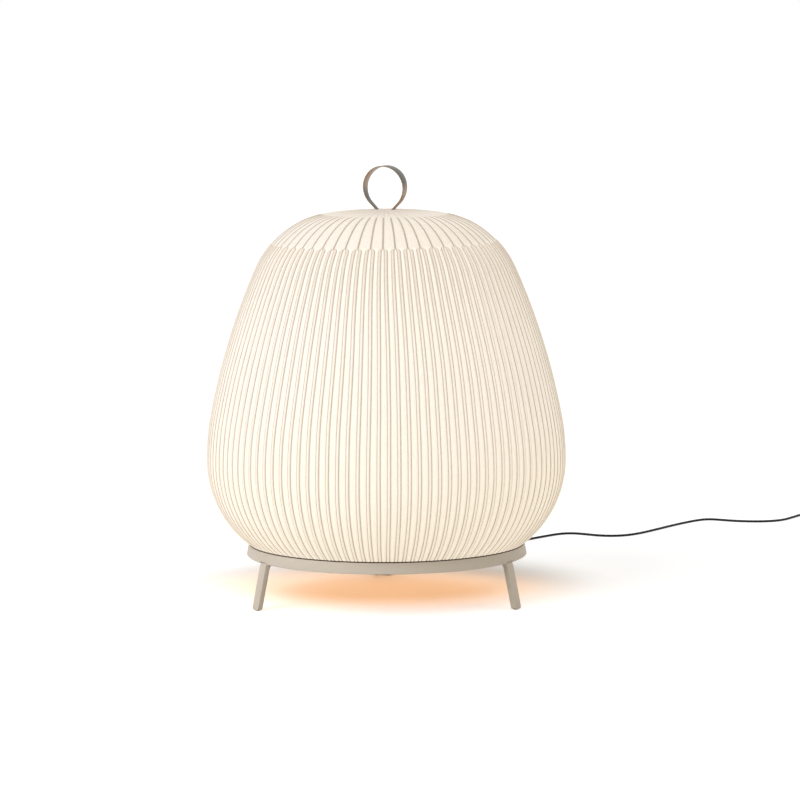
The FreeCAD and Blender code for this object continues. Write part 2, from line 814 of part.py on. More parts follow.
# The strap's edge on one side, from the right tail's end over the top to the left tail's end, moved outwards
# from the strap's middle
def strap_edges(outwards):
    sizes = loop_sizes()
    flare, middle, radius = sizes["flare"], sizes["middle"], sizes["radius"]
    tail_x = value("(strap_thickness + strap_gap) / 2")
    bend = value("strap_bend")
    corner = middle - radius / math.sin(flare) + tail_x / math.tan(flare)
    bend_centre = FreeCAD.Vector(tail_x + bend, 0, corner - bend * math.tan(flare / 2))

    def on_bend(angle):
        return bend_centre + FreeCAD.Vector(-math.cos(angle), 0, math.sin(angle)) * (bend - outwards)

    tail_low = float(loop_boss_heights()["slot_end"]) + value("strap_clearance")
    tail_end = FreeCAD.Vector(tail_x + outwards, 0, tail_low)
    edge_radius = radius + outwards
    touch = FreeCAD.Vector(edge_radius * math.cos(flare), 0, middle - edge_radius * math.sin(flare))
    top = FreeCAD.Vector(0, 0, middle + edge_radius)
    right = [
        line(tail_end, on_bend(0)),
        Part.Arc(on_bend(0), on_bend(flare / 2), on_bend(flare)).toShape(),
        line(on_bend(flare), touch),
    ]
    left = [edge.mirror(origin, FreeCAD.Vector(1, 0, 0)) for edge in right]
    over = Part.Arc(touch, top, FreeCAD.Vector(-touch.x, 0, touch.z)).toShape()
    return right + [over] + left, tail_end


def make_loop():
    wide, thick = value("strap_width"), value("strap_thickness")
    outer, outer_end = strap_edges(thick / 2)
    inner, inner_end = strap_edges(-thick / 2)
    tail = line(outer_end, inner_end)
    tails = [tail, tail.mirror(origin, FreeCAD.Vector(1, 0, 0))]
    section = Part.Face(Part.Wire(Part.__sortEdges__(outer + inner + tails)))
    strap = section.extrude(FreeCAD.Vector(0, wide, 0))
    strap.translate(FreeCAD.Vector(0, -wide / 2, 0))
    turned = FreeCAD.Placement(origin, FreeCAD.Rotation(upright, value("loop_turn")))
    feature("carrying_loop", strap.common(strap_taper()).cut(loop_screw_hole()), turned)
    feature("loop_screw", loop_screw(), turned)
    feature("loop_boss", loop_boss(), turned)


def loop_screw_height():
    return float(loop_boss_heights()["floor"]) - value("boss_wall + screw_head_radius + strap_clearance")


def loop_screw_hole():
    long = 2 * value("boss_neck_radius")
    start = FreeCAD.Vector(-long / 2, 0, loop_screw_height())
    return Part.makeCylinder(value(screw_hole), long, start, FreeCAD.Vector(1, 0, 0))


def loop_screw():
    neck, height = value("boss_neck_radius"), loop_screw_height()
    across = FreeCAD.Vector(1, 0, 0)
    shank = Part.makeCylinder(value("screw_radius"), 2 * neck, FreeCAD.Vector(-neck, 0, height), across)
    head_size = value("screw_head_radius"), value("screw_head_height")
    return shank.fuse(Part.makeCylinder(*head_size, FreeCAD.Vector(neck, 0, height), across))


# Turned boss: a neck on the stem's top, and a cup whose flange carries the crown cap
def loop_boss():
    heights = loop_boss_heights()
    floor, socket_top = float(heights["floor"]), float(heights["socket_top"])
    low = socket_top - value("boss_socket_depth")
    rim = value("boss_flange_radius")
    depth = value("knit_thickness + rod_clearance + crown_cap_thickness")
    seat = on_arc(crown_arc, math.asin(rim / (crown_arc[1] - depth)), depth).z - value("screw_clearance")
    wall, neck, bore = value("boss_wall"), value("boss_neck_radius"), value(stem_bore)
    cup = loop_sizes()["slot_half"]
    flange = seat - value("boss_flange_thickness")
    corners = [
        (bore, low), (neck, low), (neck, floor - wall), (cup + wall, floor - wall),
        (cup + wall, flange), (rim, flange), (rim, seat), (cup, seat),
        (cup, floor), (0, floor), (0, socket_top), (bore, socket_top),
    ]
    points = [FreeCAD.Vector(x, 0, z) for x, z in corners]
    turned = Part.Face(Part.makePolygon(points + points[:1])).revolve(origin, upright, full_turn)
    half = value("strap_thickness + strap_gap / 2 + strap_clearance")
    wide = value("strap_foot_width / 2 + strap_clearance")
    bottom = float(heights["slot_end"])
    slot = Part.makeBox(2 * half, 2 * wide, floor - bottom, FreeCAD.Vector(-half, -wide, bottom))
    return turned.cut(slot).cut(loop_screw_hole())


# Cord stretches: straight runs joined by arcs, each of which takes a share of the shorter run beside it
arc_share = 0.45


def vector(point):
    return FreeCAD.Vector(*point)


def sweep_round(wire, radius):
    start = wire.OrderedVertexes[0].Point
    first = wire.OrderedEdges[0]
    heading = first.tangentAt(first.FirstParameter)
    if (first.valueAt(first.FirstParameter) - start).Length > 1e-6:
        heading = first.tangentAt(first.LastParameter) * -1
    section = Part.Wire([Part.Circle(start, heading, radius).toShape()])
    solid = wire.makePipeShell([section], True, False)
    expected = math.pi * radius ** 2 * wire.Length
    if abs(solid.Volume - expected) > 0.01 * expected:
        raise ValueError("a tube of %.0f cubic mm should have %.0f" % (solid.Volume, expected))
    return solid


def make_cord(label, route):
    points = [vector(point) for point in route]
    edges, radii = [], []
    reached = points[0]
    for before, corner, after in zip(points, points[1:], points[2:]):
        into, out = corner - before, after - corner
        turn = into.getAngle(out)
        back = arc_share * min(into.Length, out.Length)
        radii.append(back / math.tan(turn / 2))
        start = corner - into * (back / into.Length)
        end = corner + out * (back / out.Length)
        to_centre = (start + end) * 0.5 - corner
        middle_gap = radii[-1] / math.cos(turn / 2) - radii[-1]
        middle = corner + to_centre * (middle_gap / to_centre.Length)
        edges += [line(reached, start), Part.Arc(start, middle, end).toShape()]
        reached = end
    edges.append(line(reached, points[-1]))
    wire = Part.Wire(edges)
    feature(label, sweep_round(wire, value("cord_diameter") / 2))
    print("%s: length %.0f mm, least bend radius %.1f mm" % (label, wire.Length, min(radii)))


def along(x, y, heading, distance):
    angle = math.radians(heading)
    return x + distance * math.cos(angle), y + distance * math.sin(angle)


floor_height = value("cord_diameter / 2 + floor_clearance")
cord_straight = value("cord_straight")
switch_end = value("switch_length / 2 + boot_length")


def make_cord_lead():
    x, y = value("gland_x"), value(gland_y)
    tip = value("leg_height - gland_length")
    axis = value("switch_axis_height")
    near = along(value("switch_x"), value("switch_y"), value("switch_turn"), -switch_end)
    before = along(value("switch_x"), value("switch_y"), value("switch_turn"), -switch_end - cord_straight)
    make_cord("cord_lead", [
        (x, y, tip),
        (x, y + 1, tip - 22),
        (x + 0.5, y + 15, 15),
        (x + 3, y + 43, 5.5),
        (-18, 312, floor_height),
        (-9, 352, floor_height),
        (-4, 403, floor_height),
        (-9, 459, floor_height),
        (-19, 511, floor_height),
        (-18, 554, floor_height),
        (-4, 587, 4.2),
        (*before, axis),
        (*near, axis),
    ])


def make_cord_run():
    axis = value("switch_axis_height")
    near = along(value("switch_x"), value("switch_y"), value("switch_turn"), switch_end)
    after = along(value("switch_x"), value("switch_y"), value("switch_turn"), switch_end + cord_straight)
    start, before = coil_start()
    floor_points = [
        (250, 686), (277, 718), (306, 759), (339, 797), (368, 829), (396, 839), (424, 823), (452, 801),
        (484, 794), (516, 805), (548, 839), (580, 886), (614, 938), (650, 989), (684, 1030), (710, 1044),
        (738, 1028), (768, 1011), (806, 1003), (842, 1007), (872, 1027), (896, 1067), (919, 1108),
        (934, 1132), (957, 1147),
    ]
    route = [(*near, axis), (*after, axis), (222, 664, 4.6)]
    route += [(x, y, floor_height) for x, y in floor_points]
    make_cord("cord_run", route + [before, start])


# The coil's bottom layer winds in, climbs in the half turn where it reverses and winds out again above
coil_bottom = value("tie_thickness + tie_clearance + cord_diameter / 2")
coil_outer_radius = value("coil_inner_radius + coil_pitch * coil_turns / 2")
coil_angle = math.radians(value("coil_heading") - 90)


def coil_point(turns):
    past = turns - value("coil_turns / 2")
    pitch = value("coil_pitch")
    radius = value("coil_inner_radius") + pitch * abs(past)
    climb = min(max(past * 2 + 0.5, 0), 1)
    rise = pitch * (1 - math.cos(math.pi * climb)) / 2
    angle = coil_angle + 2 * math.pi * turns
    x = value("coil_x") + radius * math.cos(angle)
    y = value("coil_y") + radius * math.sin(angle)
    return FreeCAD.Vector(x, y, coil_bottom + rise)


def coil_heading_at(turns):
    step = 1e-4
    return (coil_point(turns + step) - coil_point(turns - step)).normalize()


def coil_start():
    start = coil_point(0)
    heading = coil_heading_at(0)
    straight = start - heading * value("cord_diameter")
    before = straight - heading * cord_straight
    return tuple(straight), tuple(before)


# Two arcs that leave one point along its heading and reach the next along that point's heading
def biarc(start, start_heading, end, end_heading):
    chord = end - start
    both = start_heading + end_heading
    spread = 2 * (1 - start_heading.dot(end_heading))
    reach = (-chord.dot(both) + math.sqrt(chord.dot(both) ** 2 + spread * chord.dot(chord))) / spread
    joint = (start + start_heading * reach + end - end_heading * reach) * 0.5
    middle_heading = joint_heading(start, start_heading, joint)
    return [tangent_arc(start, start_heading, joint), tangent_arc(joint, middle_heading, end)]


def joint_heading(start, heading, end):
    chord = (end - start).normalize()
    return chord * (2 * chord.dot(heading)) - heading


def tangent_arc(start, heading, end):
    chord = end - start
    unit = chord * (1 / chord.Length)
    side = heading - unit * heading.dot(unit)
    bow = chord.Length / 2 * math.tan(heading.getAngle(unit) / 2)
    return Part.Arc(start, start + chord * 0.5 + side * (bow / side.Length), end).toShape()


def make_coil():
    radius = value("cord_diameter / 2")
    turns = value("coil_turns")
    quarters = int(round(turns * 4))
    first, last = coil_point(0), coil_point(turns)
    start, end = coil_heading_at(0), coil_heading_at(turns)
    edges = [line(first - start * 2 * radius, first)]
    for index in range(quarters):
        here, there = index / 4, (index + 1) / 4
        heading = start if index == 0 else coil_heading_at(here)
        edges += biarc(coil_point(here), heading, coil_point(there), coil_heading_at(there))
    edges.append(line(last, last + end * 2 * radius))
    wire = Part.Wire(edges)
    feature("cord_coil", sweep_round(wire, radius))
    print("cord_coil: length %.0f mm, least gap to itself %.2f mm" % (wire.Length, coil_gap(turns)))
    return last + end * 2 * radius, end


# Least gap of the coil to itself, on points more than a third of a turn apart
def coil_gap(turns):
    steps = 60
    points = [coil_point(index / steps) for index in range(int(turns * steps) + 1)]
    gap = min((points[first] - points[second]).Length
              for first in range(len(points)) for second in range(first + steps // 3, len(points)))
    return gap - value("cord_diameter")


# A flat tie round the coil's turns, on the side away from its ends
def make_tie():
    thick, wide, clear = value("tie_thickness"), value("tie_width"), value("tie_clearance")
    radius = value("cord_diameter / 2")
    inner = math.sqrt((value("coil_inner_radius") - radius) ** 2 - (wide / 2) ** 2) - clear
    outer = coil_outer_radius + radius + clear
    high = coil_bottom + value("coil_pitch") + radius + clear
    outside = Part.makeBox(outer - inner + 2 * thick, wide, high + thick,
                           FreeCAD.Vector(inner - thick, -wide / 2, 0))
    inside = Part.makeBox(outer - inner, wide, high - thick, FreeCAD.Vector(inner, -wide / 2, thick))
    turned = FreeCAD.Rotation(upright, math.degrees(coil_angle) + value("tie_turn"))
    centre = FreeCAD.Vector(value("coil_x"), value("coil_y"), 0)
    feature("coil_tie", outside.cut(inside), FreeCAD.Placement(centre, turned))


def make_cord_tail(start, heading):
    end = (value("plug_x"), value("plug_y"), value("plug_height / 2"))
    before = (*along(end[0], end[1], value("plug_heading"), -cord_straight), end[2])
    first = start + heading * cord_straight
    make_cord("cord_tail", [tuple(start), tuple(first), before, end])


# Gland: collar on the lip, nut above it and a tapered boot below it, about the gland's own axis
def make_gland():
    body = new_body("cord_gland")
    nut_top = lip_top + " + gland_collar_height"
    collar_low = "leg_height - gland_collar_height"
    revolution(body, outline(body, "gland_section", "XZ_Plane", [
        ("0", nut_top),
        ("gland_collar_radius", nut_top),
        ("gland_collar_radius", lip_top),
        ("grommet_radius", lip_top),
        ("grommet_radius", "leg_height"),
        ("gland_collar_radius", "leg_height"),
        ("gland_collar_radius", collar_low),
        ("grommet_radius", collar_low),
        ("gland_tip_radius", "leg_height - gland_length"),
        ("0", "leg_height - gland_length"),
    ]))
    place(body, "gland_x", gland_y, "0")


# Foot switch on the cord: base and cover shells, a sprung button and a tapered boot at each end
def place_switch(item):
    turn = FreeCAD.Rotation(upright, value("switch_turn"))
    item.Placement = FreeCAD.Placement(FreeCAD.Vector(value("switch_x"), value("switch_y"), 0), turn)
    place(item, "switch_x", "switch_y", "0")
    bind(item, "Placement.Rotation.Angle", "switch_turn * 1 deg")


def switch_shell(label, low, height):
    body = new_body(label)
    sketch = rectangle(body, label + "_outline", "XY_Plane", "-switch_length / 2", "switch_length / 2",
                       "-switch_width / 2", "switch_width / 2", low)
    block = pad(body, sketch, height)
    return body, round_edges(body, block, "switch_end_round", is_upright)


def hollow(body, label, low, height, upwards):
    sketch = rectangle(body, label + "_hollow", "XY_Plane", "switch_end_round - switch_length / 2",
                       "switch_length / 2 - switch_end_round", "switch_wall - switch_width / 2",
                       "switch_width / 2 - switch_wall", low)
    pocket(body, sketch, height, upwards)


def make_switch():
    base, _ = switch_shell("switch_base", "0", "switch_split")
    hollow(base, "switch_base", "switch_wall", "switch_split - switch_wall", True)
    place_switch(base)
    cover, rounded = switch_shell("switch_cover", "switch_split", "switch_height - switch_split")
    top = value("switch_height")
    round_edges(cover, rounded, "switch_edge_round",
                lambda edge: all(abs(item.Z - top) < 1e-6 for item in edge.Vertexes))
    hollow(cover, "switch_cover", "switch_split", "switch_height - switch_split - switch_wall", True)
    hole = circle(cover, "button_hole", "XY_Plane", "button_radius + button_clearance")
    pocket(cover, hole, "switch_height", True)
    place_switch(cover)
    make_button()
    make_boots()


def make_button():
    button = new_body("switch_button")
    flange_top = "switch_height - switch_wall - button_clearance"
    flange_low = flange_top + " - button_flange"
    cap_top = "switch_height + button_rise"
    revolution(button, outline(button, "button_section", "XZ_Plane", [
        ("0", flange_low),
        ("button_radius + button_flange", flange_low),
        ("button_radius + button_flange", flange_top),
        ("button_radius", flange_top),
        ("button_radius", cap_top + " - button_dish"),
        ("button_radius - button_dish", cap_top),
        ("button_radius / 2", cap_top),
        ("0", cap_top + " - button_dish"),
    ]))
    place_switch(button)
    length = f"{flange_low} - switch_wall"
    spring = tube("switch_spring", "spring_radius", "spring_radius - spring_wire", length, "switch_wall")
    hand_in(spring, "switch_spring")
    place_switch(spring)


def make_boots():
    boots = []
    start, long = value("switch_length / 2 + boot_clearance"), value("boot_length - boot_clearance")
    for side in (-1, 1):
        boots.append(Part.makeCone(value("boot_radius"), value("boot_tip_radius"), long,
                                   FreeCAD.Vector(side * start, 0, value("switch_axis_height")),
                                   FreeCAD.Vector(side, 0, 0)))
    item = feature("switch_boots", Part.makeCompound(boots))
    place_switch(item)


# Two-pin plug with a moulded boot
def make_plug():
    body = new_body("plug_body")
    middle = "plug_height / 2"
    neck, half = "plug_neck_width / 2", "plug_width / 2"
    shoulder = "plug_boot_length + plug_shoulder"
    end = "plug_boot_length + plug_length"
    sketch = outline(body, "plug_outline", "XY_Plane", [
        ("plug_boot_length", "-" + neck),
        (shoulder, "-" + half),
        (end, "-" + half),
        (end, half),
        (shoulder, half),
        ("plug_boot_length", neck),
    ])
    block = pad(body, sketch, "plug_height")
    round_edges(body, block, "plug_edge_round", lambda edge: not is_upright(edge))
    boot = body.newObject("PartDesign::AdditiveCone", "plug_boot")
    bind(boot, "Radius1", "boot_tip_radius")
    bind(boot, "Radius2", "boot_radius - boot_clearance")
    bind(boot, "Height", "plug_boot_length")
    boot.AttachmentSupport = [(origin_feature(body, "YZ_Plane"), "")]
    boot.MapMode = "FlatFace"
    bind(boot, "AttachmentOffset.Base.y", middle)
    doc.recompute()
    pins = []
    for side in ("-", ""):
        pin = doc.addObject("Part::Cylinder", "plug_pin")
        bind(pin, "Radius", "pin_radius")
        bind(pin, "Height", "pin_length")
        pin.Placement.Rotation = FreeCAD.Rotation(FreeCAD.Vector(0, 1, 0), 90)
        place(pin, end, side + "pin_spacing / 2", middle)
        pins.append(pin)
    pins = compound("plug_pins", pins)
    turn = FreeCAD.Rotation(upright, value("plug_heading"))
    for item in (body, pins):
        item.Placement = FreeCAD.Placement(origin, turn)
        place(item, "plug_x", "plug_y", "0")
        bind(item, "Placement.Rotation.Angle", "plug_heading * 1 deg")


make_base_ring()
make_legs()
make_glides()
make_screws()
make_hub_plate()
make_mouth_hoop()
make_driver()
make_inner_lead()
make_light()
make_stem()
make_shade_knit()
make_crown_cap()
make_rods()
make_shoulder_hoop()
make_loop()
make_gland()
make_cord_lead()
make_switch()
make_cord_run()
tail_start, tail_heading = make_coil()
make_tie()
make_cord_tail(tail_start, tail_heading)
make_plug()
doc.recompute()

for item in doc.Objects:
    if "Invalid" in item.State or "Error" in item.State:
        raise ValueError(item.Label + " failed: " + ", ".join(item.State))
for item in sub_parts:
    if item.Shape.isNull() or not item.Shape.isValid():
        raise ValueError(item.Label + " has no valid shape")
os.makedirs("parts", exist_ok=True)
for item in sub_parts:
    item.Shape.exportStep(os.path.join("parts", item.Label + ".step"))
print("%d nodes, shade top at %.1f mm" % (len(sub_parts), shade_top))
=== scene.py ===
import math

import bmesh
import bpy
from mathutils import Matrix, Vector


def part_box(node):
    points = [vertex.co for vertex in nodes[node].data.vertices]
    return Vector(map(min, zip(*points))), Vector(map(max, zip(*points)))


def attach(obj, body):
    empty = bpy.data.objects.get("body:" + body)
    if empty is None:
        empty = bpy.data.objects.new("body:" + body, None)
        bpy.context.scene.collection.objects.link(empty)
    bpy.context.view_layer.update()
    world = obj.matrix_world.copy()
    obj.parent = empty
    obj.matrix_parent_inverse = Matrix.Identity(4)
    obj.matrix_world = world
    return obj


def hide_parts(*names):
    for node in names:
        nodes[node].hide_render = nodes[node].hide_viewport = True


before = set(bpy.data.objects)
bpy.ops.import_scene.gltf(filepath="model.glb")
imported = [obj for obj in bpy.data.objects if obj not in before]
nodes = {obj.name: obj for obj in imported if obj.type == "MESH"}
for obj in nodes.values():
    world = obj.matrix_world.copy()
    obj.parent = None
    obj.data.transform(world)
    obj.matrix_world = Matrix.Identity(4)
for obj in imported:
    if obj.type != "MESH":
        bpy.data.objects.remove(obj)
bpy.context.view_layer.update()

scene = bpy.context.scene
scene.view_settings.view_transform = "Standard"
print("frame loaded with", len(nodes), "nodes")


# camera at the place the photograph was taken from
cameraSizes = {"place": (0.027, -7.45, 1.2156), "pitchDown": 6.35, "roll": -0.25, "lens": 174.6, "sensor": 36,
               "farthest": 500}


def addCamera(size):
    data = bpy.data.cameras.new("photo_camera")
    data.lens = size["lens"]
    data.sensor_width = size["sensor"]
    data.clip_end = size["farthest"]
    camera = bpy.data.objects.new("photo_camera", data)
    scene.collection.objects.link(camera)
    tilt = Matrix.Rotation(math.radians(90 - size["pitchDown"]), 4, "X")
    roll = Matrix.Rotation(math.radians(size["roll"]), 4, "Z")
    camera.matrix_world = Matrix.Translation(size["place"]) @ tilt @ roll
    scene.camera = camera


addCamera(cameraSizes)
print("camera placed")


# node fields: sums and products of sockets, for geometry and material trees alike
def feed(tree, value, socket):
    if isinstance(value, Field):
        tree.links.new(value.socket, socket)
    elif hasattr(value, "is_output"):
        tree.links.new(value, socket)
    else:
        socket.default_value = value


class Field:
    def __init__(self, tree, socket):
        self.tree = tree
        self.socket = socket

    def calc(self, operation, *others):
        node = self.tree.nodes.new("ShaderNodeMath")
        node.operation = operation
        for place, value in zip(node.inputs, (self,) + others):
            feed(self.tree, value, place)
        return Field(self.tree, node.outputs[0])

    def __add__(self, other):
        return self.calc("ADD", other)

    def __sub__(self, other):
        return self.calc("SUBTRACT", other)

    def __mul__(self, other):
        return self.calc("MULTIPLY", other)

    def __truediv__(self, other):
        return self.calc("DIVIDE", other)

    def __rsub__(self, other):
        return self.calc("MULTIPLY_ADD", -1.0, other)

    def __neg__(self):
        return self * -1.0

    __radd__ = __add__
    __rmul__ = __mul__

    # 0 below low, 1 above high, smooth between
    def smooth(self, low, high):
        node = self.tree.nodes.new("ShaderNodeMapRange")
        node.interpolation_type = "SMOOTHSTEP"
        feed(self.tree, self, node.inputs["Value"])
        feed(self.tree, low, node.inputs["From Min"])
        feed(self.tree, high, node.inputs["From Max"])
        return Field(self.tree, node.outputs["Result"])


def choose(condition, yes, no):
    return condition * yes + (1.0 - condition) * no


def newNode(tree, kind, settings=None, **inputs):
    node = tree.nodes.new(kind)
    for key, value in (settings or {}).items():
        setattr(node, key, value)
    for key, value in inputs.items():
        feed(tree, value, node.inputs[key.replace("_", " ")])
    return node


def out(node, name=0):
    return Field(node.id_data, node.outputs[name])


def newGeometryTree(name, sockets):
    tree = bpy.data.node_groups.new(name, "GeometryNodeTree")
    tree.interface.new_socket("Geometry", in_out="OUTPUT", socket_type="NodeSocketGeometry")
    for socketName, kind in sockets:
        tree.interface.new_socket(socketName, in_out="INPUT", socket_type="NodeSocket" + kind)
    source = tree.nodes.new("NodeGroupInput")
    return tree, {socketName: Field(tree, source.outputs[socketName]) for socketName, kind in sockets}


# the tree's result as a plain mesh object, with the modifier gone
def madeBy(tree, name, values):
    made = bpy.data.objects.new(name, bpy.data.meshes.new(name + "_start"))
    scene.collection.objects.link(made)
    modifier = made.modifiers.new(tree.name, "NODES")
    modifier.node_group = tree
    for item in tree.interface.items_tree:
        if item.in_out == "INPUT":
            modifier[item.identifier] = values[item.name]
    bpy.context.view_layer.update()
    depsgraph = bpy.context.evaluated_depsgraph_get()
    mesh = bpy.data.meshes.new_from_object(made.evaluated_get(depsgraph), preserve_all_data_layers=True,
                                           depsgraph=depsgraph)
    made.modifiers.remove(modifier)
    made.data = mesh
    mesh.name = name
    return made


# materials
def newMaterial(name):
    material = bpy.data.materials.new(name)
    material.use_nodes = True
    tree = material.node_tree
    return material, tree, tree.nodes["Principled BSDF"], tree.nodes["Material Output"]


def objectPlace(tree):
    return newNode(tree, "ShaderNodeTexCoord").outputs["Object"]


def noiseAt(tree, place, scale, detail=3.0, roughness=0.55):
    noise = newNode(tree, "ShaderNodeTexNoise", Vector=place, Scale=scale, Detail=detail, Roughness=roughness)
    return out(noise)


def mixColour(tree, share, first, second):
    node = newNode(tree, "ShaderNodeMix", {"data_type": "RGBA"})
    feed(tree, share, node.inputs["Factor"])
    for socket, colour in ((node.inputs[6], first), (node.inputs[7], second)):
        feed(tree, colour if isinstance(colour, Field) else (*colour, 1), socket)
    return Field(tree, node.outputs[2])


def bumpOf(tree, height, strength, distance):
    bump = newNode(tree, "ShaderNodeBump", Height=height, Strength=strength, Distance=distance)
    return bump.outputs["Normal"]


# a finish with two close tones, patchy roughness and a fine grain; plainFinish holds what most have in common
plainFinish = {"grainDepth": 0.0001, "metal": 0.0, "specular": 0.5, "coat": 0.0, "coatRoughness": 0.3,
               "patchEdges": (0.3, 0.7), "grainEdges": (0.25, 0.75)}


def grainedFinish(name, ownValues):
    values = {**plainFinish, **ownValues}
    material, tree, shader, _ = newMaterial(name)
    place = objectPlace(tree)
    patch = noiseAt(tree, place, values["patchScale"]).smooth(*values["patchEdges"])
    grain = noiseAt(tree, place, values["grainScale"], detail=2.0)
    feed(tree, mixColour(tree, patch, values["colour"], values["secondColour"]), shader.inputs["Base Color"])
    low, high = values["roughness"]
    feed(tree, grain.smooth(*values["grainEdges"]) * (high - low) + low, shader.inputs["Roughness"])
    feed(tree, bumpOf(tree, grain, values["grain"], values["grainDepth"]), shader.inputs["Normal"])
    shader.inputs["Metallic"].default_value = values["metal"]
    shader.inputs["Specular IOR Level"].default_value = values["specular"]
    shader.inputs["Coat Weight"].default_value = values["coat"]
    shader.inputs["Coat Roughness"].default_value = values["coatRoughness"]
    return material


finishes = {
    "taupePaint": {"colour": (0.555, 0.495, 0.415), "secondColour": (0.575, 0.515, 0.435), "patchScale": 6,
                   "grainScale": 1400, "grain": 0.25, "grainDepth": 0.0002, "roughness": (0.42, 0.55),
                   "specular": 0.4},
    "blackSheath": {"colour": (0.012, 0.012, 0.013), "secondColour": (0.02, 0.02, 0.021), "patchScale": 30,
                    "grainScale": 1800, "grain": 0.2, "roughness": (0.5, 0.65), "specular": 0.15},
    "blackPlastic": {"colour": (0.016, 0.016, 0.017), "secondColour": (0.024, 0.024, 0.025), "patchScale": 25,
                     "grainScale": 2400, "grain": 0.5, "grainDepth": 0.00015, "roughness": (0.45, 0.65)},
    "glideNylon": {"colour": (0.44, 0.37, 0.29), "secondColour": (0.48, 0.41, 0.32), "patchScale": 40,
                   "grainScale": 2400, "grain": 0.3, "roughness": (0.5, 0.65)},
    "buttonGloss": {"colour": (0.014, 0.014, 0.015), "secondColour": (0.02, 0.02, 0.02), "patchScale": 60,
                    "grainScale": 900, "grain": 0.05, "roughness": (0.16, 0.26), "coat": 0.3},
    "zincSteel": {"colour": (0.55, 0.55, 0.54), "secondColour": (0.64, 0.64, 0.62), "patchScale": 90,
                  "grainScale": 1500, "grain": 0.15, "roughness": (0.28, 0.42), "metal": 1.0},
    "satinAluminium": {"colour": (0.72, 0.72, 0.71), "secondColour": (0.78, 0.78, 0.77), "patchScale": 60,
                       "grainScale": 1500, "grain": 0.15, "roughness": (0.3, 0.42), "metal": 1.0},
    "whitePaint": {"colour": (0.78, 0.76, 0.71), "secondColour": (0.82, 0.80, 0.76), "patchScale": 12,
                   "grainScale": 1500, "grain": 0.2, "roughness": (0.45, 0.6)},
    "glassFibre": {"colour": (0.74, 0.70, 0.60), "secondColour": (0.80, 0.76, 0.67), "patchScale": 80,
                   "grainScale": 2500, "grain": 0.3, "roughness": (0.4, 0.55)},
    "solderMask": {"colour": (0.70, 0.73, 0.69), "secondColour": (0.76, 0.79, 0.75), "patchScale": 120,
                   "grainScale": 1800, "grain": 0.1, "roughness": (0.3, 0.4)},
    "phosphor": {"colour": (0.85, 0.66, 0.22), "secondColour": (0.9, 0.72, 0.3), "patchScale": 300,
                 "grainScale": 4000, "grain": 0.1, "roughness": (0.35, 0.45)},
    "pinBrass": {"colour": (0.62, 0.52, 0.28), "secondColour": (0.70, 0.60, 0.34), "patchScale": 120,
                 "grainScale": 2000, "grain": 0.1, "roughness": (0.22, 0.32), "metal": 1.0},
}
finish = {name: grainedFinish(name, values) for name, values in finishes.items()}


# satin bronze strap, brushed along its length; upward faces darker and downward faces warm: painted shade
# above and painted glow from the lit shade below
strapFinish = {
    "above": (0.105, 0.10, 0.09), "below": (0.36, 0.245, 0.16), "turnEdge": 0.45,
    "streak": (0.46, 0.38, 0.30), "streakShare": 0.25, "streakEdges": (0.35, 0.75), "patchScale": 55,
    "patchShare": 0.5, "strapTurn": 23, "brushScale": (60, 1500, 60), "roughness": (0.28, 0.48),
    "grain": 0.15, "grainDepth": 0.0001, "metal": 0.6,
}


def strapMaterial(size):
    material, tree, shader, _ = newMaterial("bronzeStrap")
    normal = newNode(tree, "ShaderNodeNewGeometry").outputs["Normal"]
    upward = out(newNode(tree, "ShaderNodeSeparateXYZ", Vector=normal), "Z")
    stretched = newNode(tree, "ShaderNodeMapping", Vector=objectPlace(tree))
    stretched.inputs["Rotation"].default_value = (0, 0, math.radians(size["strapTurn"]))
    stretched.inputs["Scale"].default_value = size["brushScale"]
    brush = noiseAt(tree, stretched.outputs[0], 1.0)
    patch = noiseAt(tree, objectPlace(tree), size["patchScale"])
    # the tone follows the face's upward normal: painted shade on top, painted warm glow underneath
    share = (upward + (patch - 0.5) * size["patchShare"]).smooth(-size["turnEdge"], size["turnEdge"])
    tone = mixColour(tree, share, size["below"], size["above"])
    streaked = mixColour(tree, brush.smooth(*size["streakEdges"]) * size["streakShare"], tone, size["streak"])
    feed(tree, streaked, shader.inputs["Base Color"])
    low, high = size["roughness"]
    feed(tree, brush * (high - low) + low, shader.inputs["Roughness"])
    feed(tree, bumpOf(tree, brush, size["grain"], size["grainDepth"]), shader.inputs["Normal"])
    shader.inputs["Metallic"].default_value = size["metal"]
    return material


finish["bronzeStrap"] = strapMaterial(strapFinish)
print("materials made:", len(finish))


# cords: the route's points as control points of one smooth spline
cordSizes = {"diameter": 0.005, "stepsAlong": 8, "stepsRound": 4, "splineOrder": 3, "floor": 0.0027,
             "straight": 0.018, "switchAxis": 0.007, "switch": (0.110, 0.629), "switchTurn": 15,
             "switchEnd": 0.067, "gland": (-0.026, 0.2345), "glandTip": 0.058, "glandTop": 0.0945,
             "leadHeight": 0.122, "canEdge": 0.0561, "canStraight": 0.03, "leadSag": 0.002, "sagShift": 0.02,
             "leadBend": (0.55, 0.45, 1.6)}
coilSizes = {"centre": (0.995, 1.192), "heading": 20, "innerRadius": 0.0207, "pitch": 0.0056, "turns": 5,
             "bottom": 0.0036, "pointsPerTurn": 16}
plugSizes = {"place": (1.070, 1.192, 0.00685), "heading": 33}


def along(place, heading, distance):
    angle = math.radians(heading)
    return place[0] + distance * math.cos(angle), place[1] + distance * math.sin(angle)


